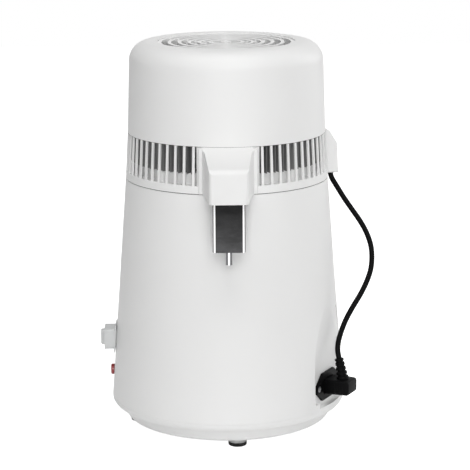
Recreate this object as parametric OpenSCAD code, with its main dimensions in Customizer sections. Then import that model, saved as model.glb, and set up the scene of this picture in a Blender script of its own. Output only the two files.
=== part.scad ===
// Countertop water distiller: a boiler with a lift-off fan and condenser head.
// The vertical axis of the boiler is the Z axis, the floor is z = 0 and the outlet faces -Y.

/* [Overall] */
// Height of the flat top above the floor
total_h = 376; // [366:1:392]
// Height of the boiler housing's top edge, where the head sits
joint_z = 244.4; // [238:0.2:250]
// Height of the dome's lower edge
dome_z = 289; // [285:0.5:294]
// Gap of the parting line between housing and head
part_gap = 0.7; // [0.4:0.1:1.2]

/* [Boiler housing] */
// Outer radius of the housing at its lower edge
base_r = 114.4; // [112:0.2:118]
// Outer radius of the housing at its top edge
joint_r = 97.9; // [96:0.1:100]
// Height of the housing's lower edge
skirt_z = 20.2; // [18:0.2:22]
// Rounding of the housing's lower edge
skirt_round = 6; // [3:0.5:8]
// Wall of the plastic housings
wall = 3; // [2.4:0.1:3.4]
// Height of the fine groove above the rounded lower edge
groove_z = 27.6; // [27:0.1:30]

/* [Base] */
// Radius of the bottom cover at its lower edge
cover_r = 100.6; // [97:0.2:103]
// Height of the bottom cover above the floor
cover_z = 7; // [5:0.5:9]
// Radius of the circle that the feet stand on
foot_ring = 88; // [78:1:90]
// Radius of one foot
foot_r = 8.8; // [7:0.2:11]
// Angle of the first foot from the front
foot_turn = 5; // [0:1:45]

/* [Boiling chamber] */
// Inner radius of the steel chamber
pot_r = 88; // [87:0.1:88.5]
// Inside height of the chamber's floor
pot_z = 70; // [66:1:90]
// Thickness of the chamber's steel
pot_t = 1; // [0.8:0.1:1.4]
// Rounding between the chamber's floor and wall
pot_round = 9; // [5:0.5:14]
// Thickness of the insulating jacket
jacket_t = 3.5; // [2:0.5:4]

/* [Heater] */
// Thickness of the heat spreading plate
plate_t = 5; // [3:0.5:8]
// Radius of the heat spreading plate
plate_r = 72; // [64:1:78]
// Radius of the heating element's loop
element_r = 56; // [48:1:60]
// Diameter of the heating element
element_d = 8; // [6:0.5:9]

/* [Switch and reset] */
// Height of the power switch's centre
switch_z = 83.7; // [80:0.5:100]
// Width of the raised switch block
switch_w = 24; // [20:0.5:26]
// Height of the raised switch block
switch_h = 20; // [18:0.5:22]
// How far the block stands out from the housing
switch_out = 11.5; // [9:0.5:14]
// Width of the power button
button_w = 9; // [7:0.5:12]
// Height of the power button
button_h = 14.4; // [12:0.2:16]
// How far the power button stands out from its block
button_out = 3.8; // [2:0.2:5]
// Travel of the power button
button_travel = 3; // [1.5:0.1:3.2]
// Height of the reset button's centre
reset_z = 50; // [45:0.5:56]
// Diameter of the reset button
reset_d = 10.6; // [9:0.2:12]
// How far the reset button stands out from its bush
reset_out = 3.3; // [2.4:0.1:3.6]
// Travel of the reset button
reset_travel = 1.8; // [1:0.1:2]

/* [Sockets] */
// Direction of the fan socket from the front toward +X
socket_az = 62; // [56:0.5:66]
// Distance of the flat recess round a socket from the axis
facet_d = 107; // [106:0.2:108]
// Height of the sockets' centres
socket_z = 48; // [46:0.5:50]
// Length of a socket's flange
flange_l = 50; // [48:0.5:52]
// Height of a socket's flange
flange_h = 27; // [25:0.5:29]
// Thickness of a socket's flange
flange_t = 2.5; // [2:0.1:3.2]
// Spacing of the flange screws
flange_pitch = 40; // [39:0.5:41]
// Direction of the mains inlet from the front toward +X
inlet_az = 180; // [160:5:200]

/* [Plug] */
// Width of the angled plug
plug_w = 24; // [23:0.5:27]
// Height of the angled plug
plug_h = 15; // [14.5:0.5:17]
// Length of the plug's body in front of the flange
plug_l = 23; // [20:0.5:26]
// Gap left between the plug's body and the flange
plug_gap = 2.5; // [1:0.1:4]
// Depth that the plug's sleeve reaches into the socket
plug_reach = 15; // [12:0.5:16]
// Travel of the plug as it is pulled out
plug_travel = 20; // [18:0.5:24]

/* [Head] */
// Outer radius of the dome at its lower edge
dome_r = 95.4; // [94:0.1:97]
// Outer radius of the dome below its rounded top
crown_r = 93.1; // [92.4:0.1:94]
// Rounding of the dome's top edge
crown_round = 18; // [14:0.5:20]
// Number of slot divisions round the vent ring
vent_count = 65; // [54:1:72]
// Width of one rib of the vent ring
rib_w = 2.5; // [2:0.1:3.2]
// Height of the solid band under the slots
band_h = 7.3; // [5:0.1:9]
// Depth of the ribs
rib_depth = 3.8; // [3.2:0.1:5]

/* [Outlet hood] */
// How far the hood's front face stands from the axis
hood_y = 144.5; // [141:0.5:148]
// Half width of the hood at its front
hood_front = 17; // [16.5:0.1:19]
// Half width of the hood behind its flared root
hood_mid = 21.5; // [21:0.1:23]
// Half width of the hood where it leaves the ring
hood_root = 29; // [28:0.5:31]
// Height of the hood's front face
hood_h = 31; // [28:0.5:34]
// Length of the tongue below the ring
tongue_l = 49; // [40:1:54]

/* [Filter box] */
// Width of the steel filter box
box_w = 30.2; // [29:0.1:31]
// Depth of the steel filter box
box_d = 32; // [29:0.5:32.5]
// Distance of the box's front face from the axis
box_y = 142; // [138.5:0.5:142]
// Height of the box's floor
box_z = 200.5; // [196:0.5:206]
// Height of the steel box
box_h = 56; // [52:1:60]
// Steel of the filter box
box_t = 1; // [0.8:0.1:1.2]
// Outer radius of the outlet tube
outlet_r = 3; // [2.5:0.1:4]
// Length of the outlet tube below the box
outlet_l = 15; // [12:0.5:18]

/* [Condenser] */
// Radius of the condenser's loops
coil_r = 61; // [58:0.5:63]
// Diameter of the condenser's tube
coil_d = 9.5; // [8:0.5:10]
// Height of the lower loop
coil_z = 266; // [265:0.5:268]
// Rise from the lower loop to the upper one
coil_step = 16; // [15:0.5:18]
// Number of cooling fins
fin_count = 34; // [24:1:38]
// Thickness of a cooling fin
fin_t = 0.8; // [0.6:0.1:1.2]
// Width of a cooling fin
fin_w = 30; // [24:1:32]

/* [Fan] */
// Side of the square fan frame
fan_w = 119; // [116:0.5:121]
// Depth of the fan frame
fan_h = 25; // [22:0.5:28]
// Radius of the fan's duct
duct_r = 57; // [54:0.2:57]
// Radius of the rotor's hub
hub_r = 20; // [18:0.5:24]
// Number of blades
blade_count = 7; // [5:1:9]
// Spacing of the fan's screws
fan_pitch = 105; // [104:0.5:106]

/* [Top grille] */
// Radius of the opening in the dome's top
grille_r = 65.9; // [62:0.1:67]
// Pitch of the grille's rings
grille_pitch = 9.6; // [8.5:0.1:10.2]
// Width of a grille ring
grille_w = 3.4; // [2:0.1:4]
// Height of a grille ring
grille_h = 6; // [5:0.5:8]
// Depth of the grille below the flat top
grille_drop = 1.2; // [0.5:0.1:2.5]

/* [Fan lead] */
// Diameter of the fan lead
lead_d = 5.2; // [4.5:0.1:5.6]

/* [Hidden] */
$fn = 96;
eps = 0.01;
// Clearance between pieces that do not touch, and between pieces that slide
clear = 0.3;
slide_gap = 0.35;

white_plastic = [0.93, 0.93, 0.92];
grey_plastic = [0.72, 0.73, 0.74];
black_plastic = [0.09, 0.09, 0.1];
rubber_black = [0.05, 0.05, 0.05];
steel = [0.7, 0.71, 0.72];
red_plastic = [0.5, 0.04, 0.05];

ring_z = joint_z + part_gap;
taper = (base_r - joint_r) / (ring_z - skirt_z - skirt_round);
ring_taper = (joint_r - dome_r) / (dome_z - ring_z);
slot_z = ring_z + band_h;
vent_step = 360 / vent_count;
crown_z = total_h - crown_round;
function wall_r(z) = joint_r + (ring_z - z) * taper;
function ring_r(z) = dome_r + (dome_z - z) * ring_taper;

// The chamber hangs by its rim on a ledge, and the gasket and lid stack on that rim
ledge_z = joint_z - 2.4;
ledge_h = 4;
rim_r = joint_r - wall - 1.1;
rim_z = ledge_z + pot_t;
gasket_h = 4.6;
lid_t = 1.2;
lid_z = rim_z + gasket_h;
shelf_z = lid_z + lid_t;
shelf_h = 2.5;
collar_r = pot_r - 4;
collar_h = 11;
lid_plate_z = ledge_z - 3;

fan_room = 6.8;
fan_top = total_h - grille_drop - grille_h - fan_room;
fan_z = fan_top - fan_h;
motor_h = 18;
shaft_r = 1.5;
shaft_gap = 0.05;
rotor_z = fan_z + 6.5;
blade_r = duct_r - 1.5;
blade_h = 17;

plug_z = socket_z + 0.5;
flange_d = facet_d + flange_t;
plug_d = flange_d + plug_gap;
sleeve_w = plug_w - 3;
sleeve_h = plug_h - 2;
sleeve_t = 1.3;
cavity_gap = 0.6;
pin_w = 4;
pin_t = 2;
pin_side = 5.2;
pin_top = 2.4;
socket_depth = plug_reach + 4;

// The hood takes the place of the first slots to either side of the front, and the gland that of
// those nearest to it
hood_slots = 3;
gland_az = 100;
gland_w = 25;
gland_out = 10.5;
gland_r = joint_r + 5.4;

box_back = box_y - box_d;
box_mid = box_y - box_d / 2;
outlet_y = box_mid - 1;

// Route of the fan lead from the gland to the plug's boot
lead_route = [
    [gland_r * sin(gland_az), -gland_r * cos(gland_az), ring_z - 1.5],
    [103, 18.5, 238], [107.5, 15.5, 231], [115, 10, 219], [123, 5.5, 208], [131, 0.5, 197],
    [137, -4, 186], [140.5, -9, 175], [141, -14, 164], [139.5, -18.5, 153], [135, -23, 142],
    [129, -28, 131.5], [121.5, -33, 121], [114.5, -38, 110], [109.5, -43, 99.5], [106, -49, 90],
    [105, -54, 82.5]];
boot_base_d = plug_d + 12.5;
boot_top_d = boot_base_d - 4;
boot_h = 19;
boot_base_z = plug_z + plug_h / 2;
boot_lean = [boot_top_d - boot_base_d, 0, boot_h];

// A direction in plan, measured from the front toward +X
module toward(az) rotate([0, 0, az - 90]) children();
function along(az, d, z) = [d * sin(az), -d * cos(az), z];
function unit(v) = v / norm(v);
function smooth(t) = t * t * (3 - 2 * t);

// Tube of diameter d swept along a route, its end rings square to the given end directions
function directions(route, first, last) = [
    for (i = [0:len(route) - 1])
        i == 0 ? unit(first)
        : i == len(route) - 1 ? unit(last)
        : unit(unit(route[i] - route[i - 1]) + unit(route[i + 1] - route[i]))];
function normals(dirs, start) = [
    for (i = 0, n = unit(start - (start * dirs[0]) * dirs[0]); i < len(dirs);
         i = i + 1, n = i < len(dirs) ? unit(n - (n * dirs[i]) * dirs[i]) : n) n];
module swept_tube(route, d, sides, first, last, start = [0, 0, 1]) {
    dirs = directions(route, first, last);
    ups = normals(dirs, start);
    rings = len(route);
    points = [for (i = [0:rings - 1]) for (k = [0:sides - 1])
        route[i] + d / 2 * (cos(k * 360 / sides) * ups[i]
            + sin(k * 360 / sides) * cross(dirs[i], ups[i]))];
    walls = [for (i = [0:rings - 2]) for (k = [0:sides - 1])
        let (a = i * sides + k, b = i * sides + (k + 1) % sides)
        each [[a, a + sides, b], [b, a + sides, b + sides]]];
    first_cap = [for (k = [1:sides - 2]) [0, k, k + 1]];
    end = (rings - 1) * sides;
    last_cap = [for (k = [1:sides - 2]) [end, end + k + 1, end + k]];
    polyhedron(points, concat(walls, first_cap, last_cap), convexity = 10);
}
// Points along a corner-cut route, which rounds the corners of a chosen route
function cut_corners(route) = concat([route[0]],
    [for (i = [0:len(route) - 2]) each [
        route[i] * 0.75 + route[i + 1] * 0.25, route[i] * 0.25 + route[i + 1] * 0.75]],
    [route[len(route) - 1]]);

// Six-sided flange with blunt ears, standing on the plane x = 0 in its own frame
module flange_outline() {
    ear = flange_l / 2 - 12;
    tip = 4;
    polygon([[-flange_l / 2, -tip], [-ear, -flange_h / 2], [ear, -flange_h / 2],
        [flange_l / 2, -tip], [flange_l / 2, tip], [ear, flange_h / 2],
        [-ear, flange_h / 2], [-flange_l / 2, tip]]);
}
module upright(az, d, z) toward(az) translate([d, 0, z]) rotate([90, 0, 90]) children();
// Body with clipped upper corners, the outline of a socket's sleeve
module sleeve_outline(w, h, clip) polygon([[-w / 2, -h / 2], [w / 2, -h / 2], [w / 2, h / 2 - clip],
    [w / 2 - clip, h / 2], [-w / 2 + clip, h / 2], [-w / 2, h / 2 - clip]]);
module pin_places() {
    translate([-pin_side, -pin_top / 2]) children();
    translate([pin_side, -pin_top / 2]) children();
    translate([0, pin_top]) children();
}
module rounded_square(w, d, r) {
    square([w - 2 * r, d], center = true);
    square([w, d - 2 * r], center = true);
    for (x = [-1, 1]) for (y = [-1, 1])
        translate([x * (w / 2 - r), y * (d / 2 - r)]) circle(r);
}

// Boiler housing
recess_round = 8;
floor_round = 4;
recess_low = socket_z - flange_h / 2 - floor_round - 0.5;
recess_half = flange_l / 2 - 1;
recess_l = recess_half + 60;
recess_h = 130;
recess_open = 30;
panel_t = 3.2;
socket_wall = 2;
module housing_outline(inset, top) {
    corner_r = base_r - skirt_round;
    corner_z = skirt_z + skirt_round;
    polygon([[0, skirt_z + inset], [corner_r, skirt_z + inset], [base_r - inset, corner_z],
        [wall_r(top) - inset, top], [0, top]]);
    intersection() {
        translate([corner_r, corner_z]) circle(skirt_round - inset);
        square([base_r + 1, corner_z]);
    }
}
// Flat scoop with a rounded front wall and floor, open toward the back
module recess(az) toward(az) translate([facet_d, -recess_half, recess_low]) {
    translate([0, 0, floor_round]) cube([recess_open, recess_l, recess_h]);
    translate([floor_round, 0, 0]) cube([recess_open, recess_l, 10]);
    translate([floor_round, 0, floor_round]) rotate([-90, 0, 0])
        cylinder(r = floor_round, h = recess_l);
    translate([recess_round, 0, floor_round]) cylinder(r = recess_round, h = recess_h);
    translate([recess_round, 0, 0]) rotate_extrude() {
        square([recess_round - floor_round, floor_round + 1]);
        translate([recess_round - floor_round, floor_round]) circle(floor_round);
    }
}
module recess_panel(az) intersection() {
    rotate_extrude() housing_outline(0, joint_z);
    toward(az) translate([facet_d - panel_t, -recess_half - recess_round - 2, skirt_z + wall + 1])
        cube([recess_open, 2 * recess_half + 2 * recess_round + 14, 108]);
}
vent_rows = 10;
vent_pitch = 2.75;
vents_az = 88;
vents_z = 92.5;
vents_w = 44;
vents_h = 1.4;
module side_vents() toward(vents_az) for (i = [0:vent_rows - 1])
    translate([base_r - 20, -vents_w / 2, vents_z + i * vent_pitch]) cube([30, vents_w, vents_h]);
boss_r = 4.5;
boss_d = cover_r - 8;
boss_turn = 20;
module at_bosses() for (k = [0:3]) toward(boss_turn + k * 90) translate([boss_d, 0, 0]) children();
module housing_bosses() at_bosses() translate([0, 0, skirt_z]) difference() {
    union() {
        cylinder(r = boss_r, h = 26);
        translate([0, -1.5, wall + 1]) cube([base_r - wall - cover_r + 8.5, 3, 25 - wall]);
    }
    translate([0, 0, -eps]) cylinder(r = 1.7, h = 14);
}
module boiler_housing() color(white_plastic) difference() {
    union() {
        difference() {
            rotate_extrude() difference() {
                housing_outline(0, joint_z);
                housing_outline(wall, joint_z + 1);
                square([cover_top_r + 2 * clear, skirt_z + wall + 1]);
                translate([base_r - 0.5, groove_z]) square([1, 0.5]);
            }
            side_vents();
        }
        rotate_extrude() translate([pot_r + pot_t + 1, ledge_z - ledge_h])
            square([joint_r - pot_r - wall, ledge_h]);
        recess_panel(socket_az);
        recess_panel(inlet_az);
        housing_bosses();
    }
    recess(socket_az);
    recess(inlet_az);
    socket_cut(socket_az, fan_cavity);
    socket_cut(inlet_az, mains_cavity);
    toward(-90) translate([base_r - 14, -neck_w / 2 - clear, switch_z - neck_h / 2 - clear])
        cube([20, neck_w + 2 * clear, neck_h + 2 * clear]);
    toward(-90) translate([base_r - 14, 0, reset_z]) rotate([0, 90, 0])
        cylinder(r = reset_d / 2 + slide_gap, h = 20);
}
module socket_cut(az, cavity) upright(az, facet_d - panel_t - 1, socket_z) {
    linear_extrude(panel_t + 2) sleeve_outline(cavity[0] + 2 * socket_wall + 2 * clear,
        cavity[1] + 2 * socket_wall + 2 * clear, 2);
    for (s = [-1, 1]) translate([s * flange_pitch / 2, 0, 0]) cylinder(r = 1.5, h = panel_t + 2);
}

// Base
cover_t = 2.5;
cover_round = 4;
cover_top_r = cover_r + 4;
post_h = 3.4;
module bottom_cover() color(white_plastic) difference() {
    union() {
        rotate_extrude() {
            polygon([[0, cover_z], [cover_r - cover_round, cover_z], [cover_r, cover_z + cover_round],
                [cover_top_r, skirt_z - clear], [cover_top_r, skirt_z + wall],
                [cover_top_r - 2, skirt_z + wall], [cover_top_r - 2, skirt_z - clear],
                [cover_r - cover_round + 1, cover_z + cover_t], [0, cover_z + cover_t]]);
            intersection() {
                translate([cover_r - cover_round, cover_z + cover_round]) circle(cover_round);
                translate([cover_r - cover_round - eps, cover_z]) square(cover_round + eps);
            }
        }
        for (k = [0:3]) toward(foot_turn + k * 90) translate([foot_ring, 0, cover_z - post_h])
            cylinder(r1 = foot_r - 0.6, r2 = foot_r, h = post_h + 1);
        at_bosses() translate([0, 0, cover_z + 1]) cylinder(r = boss_r, h = skirt_z - cover_z - 1);
    }
    at_bosses() translate([0, 0, cover_z - 1]) {
        cylinder(r = 1.7, h = 20);
        cylinder(r = 3.4, h = 5);
    }
    for (k = [0:3]) toward(foot_turn + k * 90)
        translate([foot_ring, 0, cover_z - post_h - 1]) cylinder(r = foot_r - 3.2, h = 4);
    for (i = [-4:4]) translate([-24, i * 8 - 1.5, cover_z - 1]) cube([48, 3, cover_t + 2]);
}
module foot(k) color(rubber_black) toward(foot_turn + (k - 1) * 90) translate([foot_ring, 0, 0]) {
    rotate_extrude() difference() {
        union() {
            square([foot_r - 1.2, cover_z - post_h]);
            translate([foot_r - 1.2, 1.2]) circle(1.2);
            translate([0, 1.2]) square([foot_r, cover_z - post_h - 1.2]);
        }
        translate([-5, -5]) square([5, 20]);
    }
    cylinder(r = foot_r - 3.4, h = cover_z - post_h + 2.5);
}
module pan_screw(r, h, shank_r, shank_l) {
    rotate_extrude() intersection() {
        translate([0, h - r * 1.25]) circle(r * 1.25);
        square([r, h]);
    }
    translate([0, 0, -shank_l]) cylinder(r = shank_r, h = shank_l + 0.2);
}
module base_screws() color(steel) at_bosses() translate([0, 0, cover_z + 4])
    mirror([0, 0, 1]) pan_screw(3.1, 2, 1.6, 18);

// Boiling chamber and heater
module pot_outline(r, z) {
    translate([0, z]) square([r - pot_round, 60]);
    translate([0, z + pot_round]) square([r, ledge_z - z - pot_round + 4]);
    intersection() {
        translate([r - pot_round, z + pot_round]) circle(pot_round);
        translate([0, z]) square([r, pot_round + 1]);
    }
}
module boiling_chamber() color(steel) rotate_extrude() {
    difference() {
        intersection() {
            pot_outline(pot_r + pot_t, pot_z - pot_t);
            square([200, rim_z]);
        }
        pot_outline(pot_r, pot_z);
    }
    translate([pot_r + pot_t / 2, ledge_z]) square([rim_r - pot_r - pot_t / 2, pot_t]);
}
module insulating_jacket() color([0.8, 0.78, 0.72]) rotate_extrude()
    translate([pot_r + pot_t + clear, pot_z + pot_round + 2])
        square([jacket_t, ledge_z - ledge_h - pot_z - pot_round - 3]);
plate_z = pot_z - pot_t - plate_t;
stud_r = 2;
stud_turn = 100;
module at_studs() for (k = [0:2]) toward(stud_turn + k * 120) translate([plate_r - 7, 0, 0]) children();
module heat_plate() color([0.78, 0.78, 0.78]) difference() {
    translate([0, 0, plate_z]) cylinder(r = plate_r, h = plate_t);
    at_studs() translate([0, 0, plate_z - 1]) cylinder(r = stud_r + 0.1, h = plate_t - 1);
}
// Loop open by a small angle, its two ends turned down into the contacts
element_open = 40;
element_drop = 12;
contact_d = 3;
contact_l = 9;
module heating_element() color([0.45, 0.45, 0.47]) {
    z = plate_z - element_d / 2;
    first = element_open / 2;
    rotate([0, 0, first]) rotate_extrude(angle = 360 - element_open)
        translate([element_r, z]) circle(d = element_d);
    for (a = [first, 360 - first]) rotate([0, 0, a]) translate([element_r, 0, z]) {
        sphere(d = element_d);
        translate([0, 0, -element_drop]) cylinder(d = element_d, h = element_drop);
        translate([0, 0, 1 - element_drop - contact_l]) cylinder(d = contact_d, h = contact_l);
    }
}
cutout_r = 11;
cutout_h = 9;
module heat_cutout() color(black_plastic) translate([18, 12, plate_z - cutout_h]) {
    cylinder(r = cutout_r, h = cutout_h);
    translate([-4, -1, -6]) cube([8, 2, 7]);
}
module plate_studs() color(steel) at_studs() translate([0, 0, cover_z + cover_t]) {
    cylinder(r = stud_r, h = plate_z + plate_t - 2.2 - cover_z - cover_t);
    cylinder(r = 6, h = 2);
}
nut_h = 3.4;
module stud_nuts() color(steel) at_studs() translate([0, 0, plate_z - nut_h]) difference() {
    cylinder(r = 4.2, h = nut_h, $fn = 6);
    translate([0, 0, -1]) cylinder(r = stud_r + 0.05, h = nut_h + 2);
}
terminal_count = 4;
terminal_pitch = 9.3;
terminal_w = 18;
terminal_h = 14;
terminal_hole_r = 2.6;
module terminal_block() color([0.88, 0.86, 0.8])
    translate([-32, 30, cover_z + cover_t]) difference() {
        cube([terminal_pitch * terminal_count + 2.8, terminal_w, terminal_h]);
        for (i = [0:terminal_count - 1])
            translate([6 + i * terminal_pitch, terminal_w / 2, 6])
                cylinder(r = terminal_hole_r, h = terminal_h);
    }

// Power switch and reset button
block_d = wall_r(switch_z) + switch_out;
bezel_w = switch_w + 3;
bezel_h = switch_h + 7;
bezel_gap = 0.4;
bezel_t = 1.2;
neck_w = switch_w - 4.6;
neck_h = switch_h - 3.4;
// Plate or block that leans with the wall behind it, between two distances from the wall
module leaning(h, w, near, far, upright_face) rotate([90, 0, 0]) linear_extrude(w, center = true) {
    low = switch_z - h / 2;
    high = switch_z + h / 2;
    polygon([[wall_r(low) + near, low], [upright_face ? far : wall_r(low) + far, low],
        [upright_face ? far : wall_r(high) + far, high], [wall_r(high) + near, high]]);
}
module switch_frame() color(grey_plastic) toward(-90) difference() {
    union() {
        leaning(bezel_h, bezel_w, bezel_gap, bezel_gap + bezel_t, false);
        intersection() {
            leaning(switch_h, switch_w, bezel_gap, block_d, true);
            translate([0, 0, switch_z]) rotate([90, 0, 90])
                linear_extrude(block_d) rounded_square(switch_w, switch_h, 1.5);
        }
        translate([wall_r(switch_z) - 4, -neck_w / 2, switch_z - neck_h / 2]) cube([6, neck_w, neck_h]);
    }
    translate([0, -button_w / 2 - slide_gap, switch_z - button_h / 2 - slide_gap])
        cube([block_d + 5, button_w + 2 * slide_gap, button_h + 2 * slide_gap]);
}
module button_outline(inset) rounded_square(button_w - 2 * inset, button_h - 2 * inset, 1);
module power_button() color(grey_plastic) toward(-90) translate([block_d + button_out, 0, switch_z])
    rotate([0, -90, 0]) rotate([0, 0, 90]) {
        linear_extrude(1.1) button_outline(0.6);
        translate([0, 0, 1]) linear_extrude(switch_out + button_out - 2) button_outline(0);
    }
module switch_body() color(black_plastic) toward(-90) {
    back = pot_r + pot_t + jacket_t + 2;
    front = wall_r(switch_z) - 4 - clear;
    translate([back, -neck_w / 2, switch_z - neck_h / 2]) cube([front - back, neck_w, neck_h]);
}
// The bush stands close behind the wall, and the button reaches it through the wall's hole
reset_stem_r = 2;
reset_collar_r = reset_d / 2 + 3.2;
bush_front = -wall - clear - taper * reset_collar_r - 0.1;
module reset_bush() color(black_plastic) toward(-90) translate([wall_r(reset_z), 0, reset_z])
    rotate([0, 90, 0]) difference() {
        union() {
            translate([0, 0, bush_front - 20]) cylinder(r = 9.5, h = 14);
            translate([0, 0, bush_front - 7]) cylinder(r = reset_collar_r, h = 7);
        }
        translate([0, 0, bush_front - 3]) cylinder(r = reset_d / 2 + slide_gap, h = 5);
        translate([0, 0, bush_front - 17]) cylinder(r = reset_stem_r + 0.1, h = 20);
    }
module reset_button() color(red_plastic) toward(-90) translate([wall_r(reset_z), 0, reset_z])
    rotate([0, 90, 0]) {
        translate([0, 0, bush_front - 12]) cylinder(r = reset_stem_r, h = 13);
        rotate_extrude() {
            back = bush_front - 3 + reset_travel + clear;
            translate([0, back]) square([reset_d / 2, reset_out - 0.8 - back]);
            translate([0, reset_out - 1]) square([reset_d / 2 - 0.8, 1]);
            intersection() {
                translate([reset_d / 2 - 0.8, reset_out - 0.8]) circle(0.8);
                square([reset_d, reset_out]);
            }
        }
    }

// Fan socket, mains inlet and their screws
module socket_flange(az, cavity) upright(az, facet_d, socket_z) difference() {
    union() {
        translate([0, 0, seat_gap]) linear_extrude(flange_t - seat_gap) flange_outline();
        translate([0, 0, -socket_depth]) linear_extrude(socket_depth + 1)
            sleeve_outline(cavity[0] + 2 * socket_wall, cavity[1] + 2 * socket_wall, 2.6);
    }
    translate([0, 0, -socket_depth + 2]) linear_extrude(socket_depth + 5)
        sleeve_outline(cavity[0], cavity[1], 2);
    for (s = [-1, 1]) translate([s * flange_pitch / 2, 0, -1]) {
        cylinder(r = 1.65, h = 6);
        translate([0, 0, 2]) cylinder(r1 = 1.6, r2 = 3.4, h = flange_t - 1 + eps);
    }
}
seat_gap = 0.1;
fan_cavity = [sleeve_w + 2 * cavity_gap, sleeve_h + 2 * cavity_gap + 1];
mains_cavity = [24.5, 16.6];
core_w = sleeve_w - 2 * sleeve_t - 2 * cavity_gap;
core_h = sleeve_h - 2 * sleeve_t - 2 * cavity_gap;
module fan_socket() color(black_plastic) {
    socket_flange(socket_az, fan_cavity);
    upright(socket_az, facet_d - socket_depth + 1, plug_z) difference() {
        linear_extrude(socket_depth + flange_t - 1.2) sleeve_outline(core_w, core_h, 1);
        translate([0, 0, 2]) linear_extrude(socket_depth + 5)
            pin_places() square([pin_t + 0.8, pin_w + 0.6], center = true);
    }
}
module flange_screws(az) upright(az, facet_d, socket_z)
    for (s = [-1, 1]) translate([s * flange_pitch / 2, 0, 0]) {
        translate([0, 0, 1 + seat_gap]) cylinder(r1 = 1.45, r2 = 3.1, h = flange_t - 1.1);
        translate([0, 0, -8]) cylinder(r = 1.4, h = 9.2);
    }
module socket_screws() color(steel) flange_screws(socket_az);
module mains_inlet() color(black_plastic) socket_flange(inlet_az, mains_cavity);
module inlet_pins() color(steel) upright(inlet_az, facet_d, socket_z) {
    for (p = [[-7, -2], [7, -2], [0, 2]])
        translate([p[0] - 1, p[1] - 2, 2 - socket_depth]) cube([2, 4, socket_depth - 6]);
}
module inlet_screws() color(steel) flange_screws(inlet_az);

// Head: dome and grille
module dome_outline(inset) {
    edge = crown_round - inset;
    flat_r = crown_r - crown_round;
    polygon([[0, dome_z - inset], [dome_r - inset, dome_z - inset], [crown_r - inset, crown_z],
        [0, crown_z]]);
    translate([0, crown_z - 1]) square([flat_r, edge + 1]);
    intersection() {
        translate([flat_r, crown_z]) circle(edge);
        translate([0, crown_z - 1]) square([crown_r, crown_round + 1]);
    }
}
head_boss_d = 87.6;
head_boss_h = 24;
screw_sink = 24;
module at_head_screws() for (k = [0:3]) toward(45 + k * 90) translate([head_boss_d, 0, 0]) children();
module at_fan_screws() for (x = [-1, 1]) for (y = [-1, 1])
    translate([x * fan_pitch / 2, y * fan_pitch / 2, 0]) children();
module head_dome() color(white_plastic) difference() {
    union() {
        rotate_extrude() difference() {
            dome_outline(0);
            dome_outline(wall);
            translate([0, dome_z - wall - 1]) square([dome_r - wall, wall + 2]);
            translate([0, total_h - wall - 5]) square([grille_r, wall + 10]);
        }
        at_fan_screws() translate([0, 0, fan_top])
            cylinder(r = boss_r, h = total_h - wall - fan_top + 0.5);
        intersection() {
            rotate_extrude() dome_outline(1);
            at_head_screws() translate([0, 0, dome_z]) cylinder(r = boss_r, h = head_boss_h);
        }
    }
    at_fan_screws() translate([0, 0, fan_top - 1]) cylinder(r = 1.7, h = total_h - wall - fan_top);
    at_head_screws() translate([0, 0, dome_z - 1]) cylinder(r = 1.6, h = 20);
}
grille_z = total_h - grille_drop - grille_h;
spoke_count = 6;
module top_grille() color(white_plastic) {
    rotate_extrude() {
        for (r = [grille_r - clear : -grille_pitch : grille_pitch])
            translate([r - grille_w, grille_z]) square([grille_w, grille_h]);
        translate([grille_r - clear - 0.2, total_h - wall - 2.2])
            square([3.4, 2]);
    }
    translate([0, 0, grille_z]) cylinder(r = 5, h = grille_h);
    for (k = [0:spoke_count - 1]) rotate([0, 0, 90 + k * 360 / spoke_count])
        translate([0, -1, grille_z]) cube([grille_r - 1.5, 2, grille_h - 1.5]);
}

// Head: vent ring with its outlet hood, tongue and gland
inner_rib_r = dome_r - rib_depth;
hood_top_front = ring_z + hood_h;
hood_slope = (hood_top_front - dome_z + 1.5) / (hood_y - dome_r);
hood_wall = 2;
hood_round = 4;
hood_corner = hood_front + 1.2;
module hood_plan() difference() {
    flare = 9;
    union() {
        polygon([[-hood_root, -80], [hood_root, -80], [hood_root, -dome_r + 4],
            [hood_mid + flare * 0.35, -dome_r - 3], [hood_mid, -dome_r - flare],
            [hood_corner, -hood_y + hood_round], [hood_corner - hood_round, -hood_y],
            [-hood_corner + hood_round, -hood_y], [-hood_corner, -hood_y + hood_round],
            [-hood_mid, -dome_r - flare], [-hood_mid - flare * 0.35, -dome_r - 3],
            [-hood_root, -dome_r + 4]]);
        for (s = [-1, 1]) translate([s * (hood_corner - hood_round), -hood_y + hood_round])
            circle(hood_round);
    }
    for (s = [-1, 1]) translate([s * (hood_mid + flare + 0.4), -dome_r - flare]) circle(flare);
}
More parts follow.
